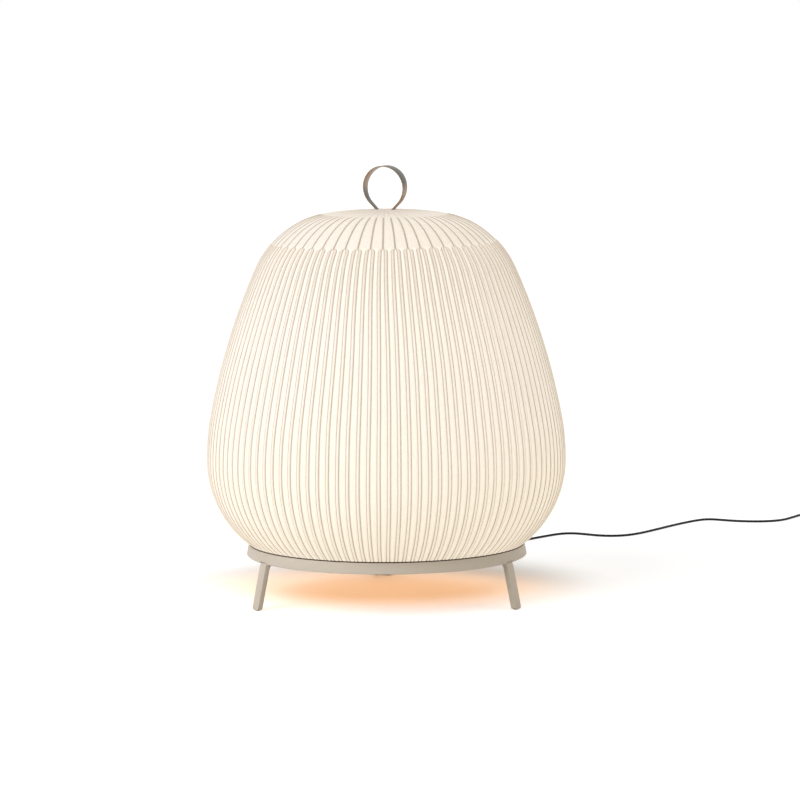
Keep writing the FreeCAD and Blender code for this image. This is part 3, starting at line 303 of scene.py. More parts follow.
def addCord(name, points, size):
    data = bpy.data.curves.new(name, "CURVE")
    data.dimensions = "3D"
    data.resolution_u = size["stepsAlong"]
    data.bevel_depth = size["diameter"] / 2
    data.bevel_resolution = size["stepsRound"]
    data.use_fill_caps = True
    spline = data.splines.new("NURBS")
    spline.points.add(len(points) - 1)
    for point, place in zip(spline.points, points):
        point.co = (*place, 1)
    spline.order_u = size["splineOrder"]
    spline.use_endpoint_u = True
    data.materials.append(finish["blackSheath"])
    cord = bpy.data.objects.new(name, data)
    scene.collection.objects.link(cord)
    return cord


def leadPoints(size):
    x, y = size["gland"]
    floor, axis = size["floor"], size["switchAxis"]
    before = along(size["switch"], size["switchTurn"], -size["switchEnd"] - size["straight"])
    near = along(size["switch"], size["switchTurn"], -size["switchEnd"])
    falling = [(0, 0.001, 0.036), (0.0005, 0.015, 0.015), (0.003, 0.043, 0.0055)]  # from the gland
    lying = [
        (-0.018, 0.312), (-0.009, 0.352), (-0.004, 0.403), (-0.009, 0.459), (-0.019, 0.511), (-0.018, 0.554),
    ]
    rising = (-0.004, 0.587, 0.0042)
    points = [(x, y, size["glandTip"])]
    points += [(x + right, y + back, height) for right, back, height in falling]
    points += [(*place, floor) for place in lying]
    return points + [rising, (*before, axis), (*near, axis)]


# the coil winds in on the floor, climbs in the half turn where it reverses and winds out on top
def coilPoint(coil, turns, swell=1.0):
    past = turns - coil["turns"] / 2
    radius = (coil["innerRadius"] + coil["pitch"] * abs(past)) * swell
    climb = min(max(past * 2 + 0.5, 0), 1)
    rise = coil["pitch"] * (1 - math.cos(math.pi * climb)) / 2
    angle = math.radians(coil["heading"] - 90) + 2 * math.pi * turns
    return Vector((*along(coil["centre"], math.degrees(angle), radius), coil["bottom"] + rise))


def coilHeading(coil, turns):
    step = 1e-4
    return (coilPoint(coil, turns + step) - coilPoint(coil, turns - step)).normalized()


def coilPoints(coil, straight, lead):
    swell = 1 / math.cos(math.pi / coil["pointsPerTurn"])  # the spline cuts inside its control points
    count = coil["turns"] * coil["pointsPerTurn"]
    first, last = coilPoint(coil, 0), coilPoint(coil, coil["turns"])
    arrive, leave = coilHeading(coil, 0), coilHeading(coil, coil["turns"])
    points = [first - arrive * (lead + straight), first - arrive * lead]
    points += [coilPoint(coil, index / coil["pointsPerTurn"], swell) for index in range(count + 1)]
    return points + [last + leave * lead, last + leave * (lead + straight)]


def runPoints(size, coil, plug):
    axis, floor = size["switchAxis"], size["floor"]
    near = along(size["switch"], size["switchTurn"], size["switchEnd"])
    after = along(size["switch"], size["switchTurn"], size["switchEnd"] + size["straight"])
    lying = [
        (0.250, 0.686), (0.277, 0.718), (0.306, 0.759), (0.339, 0.797), (0.368, 0.829), (0.396, 0.839),
        (0.424, 0.823), (0.452, 0.801), (0.484, 0.794), (0.516, 0.805), (0.548, 0.839), (0.580, 0.886),
        (0.614, 0.938), (0.650, 0.989), (0.684, 1.030), (0.710, 1.044), (0.738, 1.028), (0.768, 1.011),
        (0.806, 1.003), (0.842, 1.007), (0.872, 1.027), (0.896, 1.067), (0.919, 1.108), (0.934, 1.132),
        (0.957, 1.147),
    ]
    sinking = (0.222, 0.664, 0.0046)
    points = [(*near, axis), (*after, axis), sinking]
    points += [(*place, floor) for place in lying]
    points += [tuple(point) for point in coilPoints(coil, size["straight"], size["diameter"])]
    before = along(plug["place"], plug["heading"], -size["straight"])
    return points + [(*before, plug["place"][2]), plug["place"]]


def innerPoints(size):
    (x, y), low, high, end = size["gland"], size["glandTop"], size["leadHeight"], size["canEdge"]
    bend = high - low
    upright, turned, level = (bend * share for share in size["leadBend"])
    points = [(x, y, low), (x, y, low + upright), (x, y - turned, high), (x, y - level, high)]
    points += [(x, (y + end) / 2 + size["sagShift"], high - size["leadSag"])]
    return points + [(x, end + size["canStraight"], high), (x, end, high)]


cordLead = addCord("flex_lead", leadPoints(cordSizes), cordSizes)
cordRun = addCord("flex_run", runPoints(cordSizes, coilSizes, plugSizes), cordSizes)
innerLead = addCord("flex_inside", innerPoints(cordSizes), cordSizes)
print("cords laid")


# shade: its meridian is a chain of arcs from the hem to the crown
shadeSizes = {
    "radius": 0.347, "bellyHeight": 0.274, "mouthRadius": 0.2645, "mouthHeight": 0.109, "hemHeight": 0.1003,
    "upperRound": 0.465, "upperTurn": 10.75, "flankRound": 1.285, "flankTurn": 13.3, "shoulderRound": 0.174,
    "shoulderTurn": 57.5, "seamTurn": 37.1, "seamArc": 3, "lineEndRadius": 0.117, "step": 0.0025,
}


def shadeArcs(size):
    upper, flank, shoulder = size["upperRound"], size["flankRound"], size["shoulderRound"]
    flankEnd = math.radians(90 - size["upperTurn"])
    shoulderEnd = flankEnd - math.radians(size["flankTurn"])
    crownEnd = shoulderEnd - math.radians(size["shoulderTurn"])

    def moved(centre, distance, angle):
        return centre[0] + distance * math.sin(angle), centre[1] + distance * math.cos(angle)

    upperCentre = (size["radius"] - upper, size["bellyHeight"])
    flankCentre = moved(upperCentre, upper - flank, flankEnd)
    shoulderCentre = moved(flankCentre, flank - shoulder, shoulderEnd)
    crown = shoulder + shoulderCentre[0] / math.sin(crownEnd)
    crownCentre = moved(shoulderCentre, shoulder - crown, crownEnd)
    inset, drop = size["radius"] - size["mouthRadius"], size["bellyHeight"] - size["mouthHeight"]
    lower = (inset ** 2 + drop ** 2) / (2 * inset)
    mouth = math.pi - math.asin((size["mouthRadius"] - size["radius"] + lower) / lower)
    seam = crownEnd + math.radians(size["seamTurn"])
    return [
        ((size["radius"] - lower, size["bellyHeight"]), lower, mouth, math.pi / 2),
        (upperCentre, upper, math.pi / 2, flankEnd),
        (flankCentre, flank, flankEnd, shoulderEnd),
        (shoulderCentre, shoulder, shoulderEnd, seam),
        (shoulderCentre, shoulder, seam, crownEnd),
        (crownCentre, crown, crownEnd, 0.0),
    ]


def addMeridian(size):
    points = [(size["mouthRadius"], size["hemHeight"])]
    seamLength = lineEndLength = None
    total = 0.0
    for number, ((across, high), radius, start, end) in enumerate(shadeArcs(size)):
        count = max(2, math.ceil(radius * abs(end - start) / size["step"]))
        for index in range(0 if number == 0 else 1, count + 1):
            angle = start + (end - start) * index / count
            point = (across + radius * math.sin(angle), high + radius * math.cos(angle))
            total += math.dist(points[-1], point)
            points.append(point)
            if point[0] > size["lineEndRadius"]:
                lineEndLength = total
        if number == size["seamArc"]:
            seamLength = total
    data = bpy.data.curves.new("shade_meridian", "CURVE")
    data.dimensions = "3D"
    spline = data.splines.new("POLY")
    spline.points.add(len(points) - 1)
    for point, (across, high) in zip(spline.points, points):
        point.co = (across, 0, high, 1)
    return bpy.data.objects.new("shade_meridian", data), seamLength, lineEndLength, total


# knit material: cream panels, darker tunnels with a crease at each side; the lamp's light through the knit is
# painted on as emission (glow)
knitLook = {
    "panel": (0.61, 0.60, 0.58), "tunnel": (0.60, 0.56, 0.525), "crease": (0.49, 0.44, 0.385),
    "wire": (0.42, 0.36, 0.29), "pleat": (0.42, 0.36, 0.32), "hem": (0.045, 0.026, 0.018),
    "panelGlow": (1.0, 0.905, 0.765), "lowGlow": (1.0, 0.87, 0.66), "tunnelGlow": (0.62, 0.52, 0.41),
    "creaseGlow": (0.38, 0.315, 0.225), "pleatGlow": (0.46, 0.39, 0.32), "glow": 0.60, "domeGlow": 0.80,
    "lowShare": 0.12, "lowEdges": (0.25, 0.6), "throughShare": 0.10, "tunnelEdges": (-0.0004, 0.0002),
    "upperReach": 0.22, "upperTunnel": 0.68, "lowerTunnel": 0.08, "panelReach": 0.0024, "flankReach": 0.0017,
    "creaseEdges": (0.15, 1.0), "creaseShare": 0.85, "wireShare": 0.85, "pleatShare": 0.9,
    "hemEdges": (0.0112, 0.0122), "waleHeight": 0.5, "courseHeight": 0.35, "courseSway": 1.2,
    "stitchBump": 0.6, "stitchDepth": 0.0003, "gapEdges": (-0.5, 0.1), "gapTone": 0.24, "fleckScale": 260,
    "fleckEdges": (0.2, 0.8), "fleckTone": 0.08, "tone": 1.03, "roughness": 0.85, "specular": 0.2,
    "sheen": 0.15, "sheenRoughness": 0.5,
}


def attribute(tree, name):
    return out(newNode(tree, "ShaderNodeAttribute", {"attribute_name": name}), "Fac")


def knitMaterial(look):
    material, tree, shader, output = newMaterial("ribbedKnit")
    crease = attribute(tree, "creaseDistance")
    dome = attribute(tree, "domeShare")
    depth = attribute(tree, "seamDistance")
    inTunnel = 1.0 - crease.smooth(*look["tunnelEdges"])
    onPanel = crease.calc("MAXIMUM", 0.0) / look["panelReach"]
    onFlank = (-crease).calc("MAXIMUM", 0.0) / look["flankReach"]
    nearCrease = 1.0 - (onPanel + onFlank).smooth(*look["creaseEdges"])
    upper = 1.0 - depth.smooth(0.0, look["upperReach"])
    low = depth.smooth(*look["lowEdges"])
    # tunnels are double knit and a little darker; their darkening towards the seam is painted shade, where
    # less lamp light comes through
    tunnelShare = inTunnel * (upper * look["upperTunnel"] + look["lowerTunnel"])
    # crease darkening, in colour and glow: partly denser knit at the tunnel's edge, partly painted shade in
    # the crease
    creaseShare = nearCrease * (1.0 - dome) * look["creaseShare"]
    wireShare = inTunnel * dome * look["wireShare"]
    # darker pleat valleys on the crown, in colour and glow: painted shade
    pleatShare = attribute(tree, "pleatDepth") * look["pleatShare"]
    # the knit's lowest 12 mm, down in the ring, is near black in colour and glow: the dark line along the
    # ring's top edge
    hemShare = 1.0 - attribute(tree, "hemDistance").smooth(*look["hemEdges"])
    place = newNode(tree, "ShaderNodeUVMap", {"uv_map": "knitMap"}).outputs["UV"]
    mapped = newNode(tree, "ShaderNodeSeparateXYZ", Vector=place)
    wale = (out(mapped, "X") * (2 * math.pi)).calc("SINE")
    course = (out(mapped, "Y") * (2 * math.pi) + wale * look["courseSway"]).calc("SINE")
    stitch = wale * look["waleHeight"] + course * look["courseHeight"]
    fleck = noiseAt(tree, objectPlace(tree), look["fleckScale"], detail=2.0).smooth(*look["fleckEdges"])
    gap = 1.0 - stitch.smooth(*look["gapEdges"])  # dark between the loops of yarn
    tone = fleck * look["fleckTone"] - gap * look["gapTone"] + look["tone"]

    def toned(colour, *layers):
        for share, name in layers:
            colour = mixColour(tree, share, colour, look[name])
        node = newNode(tree, "ShaderNodeVectorMath", {"operation": "SCALE"})
        feed(tree, colour, node.inputs[0])
        feed(tree, tone, node.inputs["Scale"])
        return node.outputs[0]

    dyed = toned(look["panel"], (tunnelShare, "tunnel"), (creaseShare, "crease"), (pleatShare, "pleat"),
                 (wireShare, "wire"), (hemShare, "hem"))
    lit = toned(look["panelGlow"], (low, "lowGlow"), (tunnelShare, "tunnelGlow"), (creaseShare, "creaseGlow"),
                (pleatShare, "pleatGlow"), (wireShare, "creaseGlow"), (hemShare, "hem"))
    normal = bumpOf(tree, stitch, look["stitchBump"], look["stitchDepth"])
    feed(tree, dyed, shader.inputs["Base Color"])
    feed(tree, normal, shader.inputs["Normal"])
    shader.inputs["Roughness"].default_value = look["roughness"]
    shader.inputs["Specular IOR Level"].default_value = look["specular"]
    shader.inputs["Sheen Weight"].default_value = look["sheen"]
    shader.inputs["Sheen Roughness"].default_value = look["sheenRoughness"]
    feed(tree, lit, shader.inputs["Emission Color"])
    strength = dome * (look["domeGlow"] - 1.0) + low * look["lowShare"] + 1.0
    feed(tree, strength * look["glow"], shader.inputs["Emission Strength"])
    through = newNode(tree, "ShaderNodeBsdfTranslucent", Color=lit, Normal=normal)
    mixed = newNode(tree, "ShaderNodeMixShader", Fac=look["throughShare"])
    tree.links.new(shader.outputs[0], mixed.inputs[1])
    tree.links.new(through.outputs[0], mixed.inputs[2])
    tree.links.new(mixed.outputs[0], output.inputs["Surface"])
    return material


# ribs: 56 pairs of tunnels on the body, each pair forking from one wire line of the dome
ribSizes = {
    "Pairs": 56, "Phase": 0.0425, "Tunnel Width": 0.0056, "Tunnel Height": 0.0016, "Crease Depth": 0.0004,
    "Panel Bulge": 0.0004, "Fork Length": 0.009, "Skew": 0.004, "Wobble": 0.012, "Inset": 0.0010,
    "Line Width": 0.0032, "Line Height": 0.0008, "Pleat Slope": 0.011, "Body Rows": 62, "Dome Rows": 30,
    "Seed": 7.0,
}
ribSockets = [("Meridian", "Object"), ("Material", "Material")]
ribSockets += [(name, "Float") for name in ("Seam Length", "Line End", "Total Length")]
ribSockets += [(name, "Int" if isinstance(value, int) else "Float") for name, value in ribSizes.items()]
ribDetail = {
    "bodyColumns": 10, "tunnelColumns": 6, "domeColumns": 12, "lineColumns": 4, "wales": 1456,
    "course": 0.0016, "merge": 0.00003, "wobbleRound": 1.6, "wobbleRise": 3.0, "wobbleDetail": 1.5,
    "forkZone": 0.012, "forkRows": 0.14, "tipShare": 0.35, "pairing": 0.05, "pairingReach": 0.25,
    "leastOffset": 1.02, "hemRise": (0.004, 0.03), "forkRise": 0.005,
    "discRows": 0.3, "tuck": 0.0015, "domeInset": 0.0005, "crownLift": 0.0020, "crownReach": 0.6,
    "innerRadius": 0.002, "lineFade": 0.006, "mostAngle": 0.3, "leastAngle": 0.01, "discCrease": 0.001,
    "pleatTone": 0.3, "valleyTone": 0.35, "outerTone": 0.25, "innerTone": 0.75, "toneReach": 0.7,
}


def ribbedKnitTree(detail):
    tree, size = newGeometryTree("ribbed_knit", ribSockets)
    meridian = newNode(tree, "GeometryNodeObjectInfo", Object=size["Meridian"]).outputs["Geometry"]
    pairAngle = size["Pairs"].calc("POWER", -1.0) * (2 * math.pi)

    def grid(columns, rows):
        mesh = newNode(tree, "GeometryNodeMeshGrid", Size_X=1.0, Size_Y=1.0, Vertices_X=columns + 1.0,
                       Vertices_Y=rows)
        position = newNode(tree, "GeometryNodeInputPosition").outputs[0]
        spot = newNode(tree, "ShaderNodeSeparateXYZ", Vector=position)
        column = ((out(spot, "X") + 0.5) * columns).calc("ROUND")
        return mesh.outputs["Mesh"], column, out(spot, "Y") + 0.5

    def meridianAt(length):
        sample = newNode(tree, "GeometryNodeSampleCurve", {"mode": "LENGTH"}, Curves=meridian, Length=length)
        spot = newNode(tree, "ShaderNodeSeparateXYZ", Vector=sample.outputs["Position"])
        slope = newNode(tree, "ShaderNodeSeparateXYZ", Vector=sample.outputs["Tangent"])
        return out(spot, "X"), out(spot, "Z"), out(slope, "Z"), -out(slope, "X")

    # lines lie a little unevenly round the shade
    def wobbleAt(angle, length, radius):
        place = newNode(tree, "ShaderNodeCombineXYZ", X=angle.calc("COSINE") * detail["wobbleRound"],
                        Y=angle.calc("SINE") * detail["wobbleRound"], Z=length * detail["wobbleRise"])
        noise = newNode(tree, "ShaderNodeTexNoise", {"noise_dimensions": "4D"}, Vector=place.outputs[0],
                        W=size["Seed"], Scale=1.0, Detail=detail["wobbleDetail"])
        return (out(noise) - 0.5) * size["Wobble"] / radius

    # the middle of a pair or line, and where the seam runs there
    def centreAndSeam(number):
        centre = (number + 0.5) * pairAngle + size["Phase"]
        return centre, size["Seam Length"] + centre.calc("COSINE") * size["Skew"]

    # the rows' share of the lower and the upper of two zones
    def zones(share, upperRows):
        split = 1 - upperRows
        upper = ((share - split) / (1 - split)).calc("MAXIMUM", 0.0)
        return (share / split).calc("MINIMUM", 1.0), upper

    # 0 to 1 on a quarter circle, for round ends
    def rounded(share):
        return (1.0 - (1.0 - share) * (1.0 - share)).calc("SQRT")

    def ridgeAt(across):
        return (1.0 - across * across).calc("MAXIMUM", 0.0).calc("SQRT")

    # distance to the nearer crease, for a panel this wide
    def panelCrease(angle, radius, panel):
        return angle * radius * 0.5 * (1.0 - (panel * 2.0 - 1.0).calc("ABSOLUTE"))

    def stored(mesh, name, value, kind="FLOAT", domain="POINT"):
        return newNode(tree, "GeometryNodeStoreNamedAttribute", {"data_type": kind, "domain": domain},
                       Geometry=mesh, Name=name, Value=value).outputs["Geometry"]

    def finished(mesh, length, angle, lift, crease, seam, dome, pleat):
        radius, height, normalOut, normalUp = meridianAt(length)
        wide = radius + normalOut * lift
        place = newNode(tree, "ShaderNodeCombineXYZ", X=wide * angle.calc("COSINE"),
                        Y=wide * angle.calc("SINE"), Z=height + normalUp * lift)
        stitchMap = newNode(tree, "ShaderNodeCombineXYZ", X=angle * (detail["wales"] / (2 * math.pi)),
                            Y=length / detail["course"])
        mesh = stored(mesh, "creaseDistance", crease)
        mesh = stored(mesh, "seamDistance", seam)
        mesh = stored(mesh, "hemDistance", length)
        mesh = stored(mesh, "domeShare", dome)
        mesh = stored(mesh, "pleatDepth", pleat)
        mesh = stored(mesh, "knitMap", stitchMap.outputs[0], "FLOAT2", "CORNER")
        placed = newNode(tree, "GeometryNodeSetPosition", Geometry=mesh, Position=place.outputs[0])
        joined = newNode(tree, "GeometryNodeMergeByDistance", Geometry=placed.outputs[0],
                         Distance=detail["merge"])
        return joined.outputs[0]

    # half a pair is a tunnel's columns and then its panel's
    def body():
        half, inside = detail["bodyColumns"], detail["tunnelColumns"]
        mesh, column, share = grid(size["Pairs"] * (2.0 * half), size["Body Rows"])
        pair = ((column + 0.5) / (2.0 * half)).calc("FLOOR")
        within = column - pair * (2.0 * half)
        right = within.calc("GREATER_THAN", half - 0.5)
        spot = within - right * half
        inTunnel = spot.calc("LESS_THAN", inside + 0.5)
        across = ((spot - inside / 2) * (math.pi / inside)).calc("SINE")
        panel = (spot - inside) / (half - inside)
        centre, seam = centreAndSeam(pair)
        low, high = zones(share, detail["forkRows"])
        length = low * (seam - detail["forkZone"]) + high * detail["forkZone"]
        below = seam - length
        radius = meridianAt(length)[0]
        spread = rounded((below / size["Fork Length"]).calc("MINIMUM", 1.0))
        halfWidth = size["Tunnel Width"] * 0.5 * (spread * (1 - detail["tipShare"]) + detail["tipShare"])
        halfAngle = halfWidth / radius
        pairing = below.smooth(0.0, detail["pairingReach"]) * detail["pairing"] + (1 - detail["pairing"])
        offset = (pairAngle * 0.25 * pairing * spread).calc("MAXIMUM", halfAngle * detail["leastOffset"])
        inTunnelAngle = (right * 2.0 - 1.0) * offset + across * halfAngle
        panelStart = choose(right, offset, -offset) + halfAngle
        panelEnd = choose(right, pairAngle - offset, offset) - halfAngle
        panelAngle = panelStart + (panelEnd - panelStart) * panel
        angle = centre + wobbleAt(centre, length, radius) + choose(inTunnel, inTunnelAngle, panelAngle)
        rise = length.smooth(*detail["hemRise"]) * below.smooth(0.0, detail["forkRise"])
        ridge = ridgeAt(across)
        arch = panel * (1.0 - panel) * 4.0
        tunnelLift = size["Tunnel Height"] * ridge * rise - size["Crease Depth"] * (1.0 - ridge)
        panelLift = (size["Panel Bulge"] + size["Crease Depth"]) * arch - size["Crease Depth"]
        lift = choose(inTunnel, tunnelLift, panelLift) - size["Inset"]
        tunnelCrease = halfWidth * (across.calc("ABSOLUTE") - 1.0)
        crease = choose(inTunnel, tunnelCrease, panelCrease(panelEnd - panelStart, radius, panel))
        return finished(mesh, length, angle, lift, crease, below, 0.0, 0.0)

    # past the line ends the cloth of the dome is drawn in pleats to the loop
    def dome():
        count, inside = detail["domeColumns"], detail["lineColumns"]
        mesh, column, share = grid(size["Pairs"] * float(count), size["Dome Rows"])
        line = ((column + 0.5) / count).calc("FLOOR")
        spot = column - line * count
        inLine = spot.calc("LESS_THAN", inside + 0.5)
        across = (spot - inside / 2) / (inside / 2)
        panel = (spot - inside) / (count - inside)
        centre, seam = centreAndSeam(line)
        start = seam - detail["tuck"]
        low, high = zones(share, detail["discRows"])
        length = start + low * (size["Line End"] - start) + high * (size["Total Length"] - size["Line End"])
        radius = meridianAt(length)[0].calc("MAXIMUM", detail["innerRadius"])
        left = ((size["Line End"] - length) / detail["lineFade"]).calc("MAXIMUM", 0.0).calc("MINIMUM", 1.0)
        fade = rounded(left)
        pleats = 1.0 - fade
        halfWidth = size["Line Width"] * 0.5 * fade
        halfAngle = (halfWidth / radius).calc("MINIMUM", pairAngle * detail["mostAngle"])
        halfAngle = halfAngle + pairAngle * detail["leastAngle"]
        panelWidth = pairAngle - halfAngle * 2.0
        inAngle = across * halfAngle
        panelAngle = halfAngle + panelWidth * panel
        angle = centre + wobbleAt(centre, length, radius) * fade + choose(inLine, inAngle, panelAngle)
        arch = panel * (1.0 - panel) * 4.0
        bulge = size["Panel Bulge"] * fade + radius * size["Pleat Slope"] * pleats
        lift = choose(inLine, size["Line Height"] * ridgeAt(across) * fade, bulge * arch)
        raised = share.smooth(0.0, detail["crownReach"]) * detail["crownLift"]
        lift = lift - size["Inset"] - detail["domeInset"] + raised
        lineCrease = halfWidth * (across.calc("ABSOLUTE") - 1.0)
        besideLine = panelCrease(panelWidth, radius, panel) + detail["discCrease"] * pleats
        crease = choose(inLine, lineCrease, besideLine)
        # pleat valleys and wire lines darkened: painted shade, stronger towards the loop
        valleyShade = choose(inLine, 1.0, 1.0 - arch * arch) * detail["valleyTone"] + detail["pleatTone"]
        inner = high.smooth(0.0, detail["toneReach"]) * detail["innerTone"] + detail["outerTone"]
        return finished(mesh, length, angle, lift, crease, 0.0, 1.0, valleyShade * pleats * inner)

    joined = newNode(tree, "GeometryNodeJoinGeometry")
    for mesh in (body(), dome()):
        tree.links.new(mesh, joined.inputs[0])
    whole = newNode(tree, "GeometryNodeRealizeInstances", Geometry=joined.outputs[0]).outputs[0]
    whole = newNode(tree, "GeometryNodeSetShadeSmooth", Geometry=whole).outputs[0]
    whole = newNode(tree, "GeometryNodeSetMaterial", Geometry=whole, Material=size["Material"]).outputs[0]
    tree.links.new(whole, newNode(tree, "NodeGroupOutput").inputs[0])
    return tree


meridian, seamLength, lineEndLength, totalLength = addMeridian(shadeSizes)
shadeValues = {"Meridian": meridian, "Material": knitMaterial(knitLook), "Seam Length": seamLength,
               "Line End": lineEndLength, "Total Length": totalLength, **ribSizes}
shadeKnit = madeBy(ribbedKnitTree(ribDetail), "shade_skin", shadeValues)
print("shade knitted with", len(shadeKnit.data.polygons), "faces")


# lining: the knit's inner face, seen through the open base; its warm orange colour is painted lamplight from
# inside the shade
liningSizes = {
    "depth": 0.0019, "columns": 112, "every": 6, "wale": 0.0015, "course": 0.0016, "stitchBump": 0.3,
    "stitchDepth": 0.0003, "colour": (0.74, 0.52, 0.32), "fleckColour": (0.80, 0.60, 0.40),
    "fleckScale": 260, "fleckEdges": (0.3, 0.7), "roughness": 0.9, "specular": 0.1,
}


def liningMaterial(size):
    material, tree, shader, _ = newMaterial("knitLining")
    place = newNode(tree, "ShaderNodeSeparateXYZ", Vector=objectPlace(tree))
    course = (out(place, "Z") * (2 * math.pi / size["course"])).calc("SINE")
    turn = out(place, "Y").calc("ARCTAN2", out(place, "X"))
    wale = (turn * round(shadeSizes["radius"] / size["wale"])).calc("SINE")  # a whole number round the shade
    fleck = noiseAt(tree, objectPlace(tree), size["fleckScale"], detail=2.0).smooth(*size["fleckEdges"])
    normal = bumpOf(tree, course * 0.5 + wale * 0.5, size["stitchBump"], size["stitchDepth"])
    feed(tree, mixColour(tree, fleck, size["colour"], size["fleckColour"]), shader.inputs["Base Color"])
    feed(tree, normal, shader.inputs["Normal"])
    shader.inputs["Roughness"].default_value = size["roughness"]
    shader.inputs["Specular IOR Level"].default_value = size["specular"]
    return material


def addLining(size):
    profile = [Vector(point.co[:3]) for point in meridian.data.splines[0].points]
    kept = profile[:2] + profile[2:-1:size["every"]] + profile[-1:]
    work = bmesh.new()
    rows = []
    for index, spot in enumerate(kept):
        before, after = kept[max(index - 1, 0)], kept[min(index + 1, len(kept) - 1)]
        slope = (after - before).normalized()
        inside = spot + Vector((-slope.z, 0, slope.x)) * size["depth"]
        if index == len(kept) - 1:
            rows.append([work.verts.new((0, 0, inside.z))])
            continue
        rows.append([work.verts.new(Matrix.Rotation(2 * math.pi * column / size["columns"], 3, "Z") @ inside)
                     for column in range(size["columns"])])
    for lower, upper in zip(rows, rows[1:]):
        for column in range(size["columns"]):
            beside = (column + 1) % size["columns"]
            if len(upper) == 1:
                work.faces.new((lower[beside], lower[column], upper[0]))
            else:
                work.faces.new((lower[beside], lower[column], upper[column], upper[beside]))
    mesh = bpy.data.meshes.new("shade_lining")
    work.to_mesh(mesh)
    work.free()
    mesh.materials.append(liningMaterial(size))
    mesh.shade_smooth()
    lining = bpy.data.objects.new("shade_lining", mesh)
    scene.collection.objects.link(lining)
    return lining


shadeLining = addLining(liningSizes)
print("lining made")


# rigid pieces: a copy of the CAD mesh with its doubles merged and its edges eased
easeSizes = {"doubles": 1e-6, "flatAngle": 0.5, "edgeAngle": 35, "sharpAngle": 50, "segments": 2}


def eased(node, name, width, material, size):
    mesh = nodes[node].data.copy()
    mesh.name = name
    work = bmesh.new()
    work.from_mesh(mesh)
    bmesh.ops.remove_doubles(work, verts=work.verts, dist=size["doubles"])
    flat = math.radians(size["flatAngle"])
    bmesh.ops.dissolve_limit(work, angle_limit=flat, verts=work.verts, edges=work.edges)
    work.to_mesh(mesh)
    work.free()
    mesh.materials.clear()
    mesh.materials.append(material)
    piece = bpy.data.objects.new(name, mesh)
    scene.collection.objects.link(piece)
    bevel = piece.modifiers.new("eased_edges", "BEVEL")
    bevel.width = width
    bevel.segments = size["segments"]
    bevel.limit_method = "ANGLE"
    bevel.angle_limit = math.radians(size["edgeAngle"])
    bevel.harden_normals = False
    depsgraph = bpy.context.evaluated_depsgraph_get()
    done = bpy.data.meshes.new_from_object(piece.evaluated_get(depsgraph), depsgraph=depsgraph)
    piece.modifiers.remove(bevel)
    piece.data = done
    done.shade_smooth()
    done.set_sharp_from_angle(angle=math.radians(size["sharpAngle"]))
    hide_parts(node)
    return piece


easedPieces = {
    "base_ring": ("ring_band", 0.0006, "taupePaint", "taupe_paint"),
    "leg_rear": ("leg_bar_rear", 0.0008, "taupePaint", "taupe_paint"),
    "leg_front_left": ("leg_bar_left", 0.0008, "taupePaint", "taupe_paint"),
    "leg_front_right": ("leg_bar_right", 0.0008, "taupePaint", "taupe_paint"),
    "carrying_loop": ("loop_strap", 0.0005, "bronzeStrap", "bronze"),
    "plug_body": ("plug_shell", 0.0006, "blackPlastic", "black_plastic"),
}
dressed = {}
for node, (name, width, look, slotName) in easedPieces.items():
    dressed[node] = eased(node, name, width, finish[look], easeSizes)
    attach(dressed[node], "lamp")
print("rigid pieces dressed:", len(dressed))


# opal diffuser: the warm lamp that lights the shade from within
lampLight = {"colour": (1.0, 0.72, 0.42), "strength": 1.6, "swing": 0.2, "least": 0.9,
             "shell": (0.92, 0.90, 0.86), "cloud": (0.96, 0.94, 0.9), "cloudScale": 14, "roughness": 0.35}


def opalMaterial(light):
    material, tree, shader, _ = newMaterial("litOpal")
    cloud = noiseAt(tree, objectPlace(tree), light["cloudScale"])
    strength = cloud * light["swing"] * light["strength"] + light["least"] * light["strength"]
    feed(tree, mixColour(tree, cloud, light["shell"], light["cloud"]), shader.inputs["Base Color"])
    shader.inputs["Roughness"].default_value = light["roughness"]
    shader.inputs["Emission Color"].default_value = (*light["colour"], 1)
    feed(tree, strength, shader.inputs["Emission Strength"])
    return material


cadFinishes = {
    "blackPlastic": ["switch_base", "switch_cover"],
    "glideNylon": ["glides"],
    "buttonGloss": ["switch_button"],
    "zincSteel": ["arm_screws", "ring_screws", "hub_plate", "mouth_hoop", "stem", "stem_nuts", "loop_screw",
                  "switch_spring"],
    "whitePaint": ["driver_can", "driver_lid", "crown_cap", "shoulder_hoop"],
    "solderMask": ["driver_board", "light_boards"],
    "phosphor": ["light_chips"],
    "satinAluminium": ["light_core", "diffuser_cap", "loop_boss"],
    "glassFibre": ["tunnel_rods", "crown_wires"],
    "blackSheath": ["lead_grommet", "cord_gland", "switch_boots"],
    "pinBrass": ["plug_pins"],
}
for look, names in cadFinishes.items():
    for name in names:
        nodes[name].data.materials.clear()
        nodes[name].data.materials.append(finish[look])
nodes["diffuser"].data.materials.clear()
nodes["diffuser"].data.materials.append(opalMaterial(lampLight))
print("frame nodes finished")


# coil tie: a flat band with rounded corners round the bundle
tieSizes = {"width": 0.012, "thickness": 0.0008, "corner": 0.003, "cornerSteps": 6, "reach": 0.0036,
            "turn": 135}


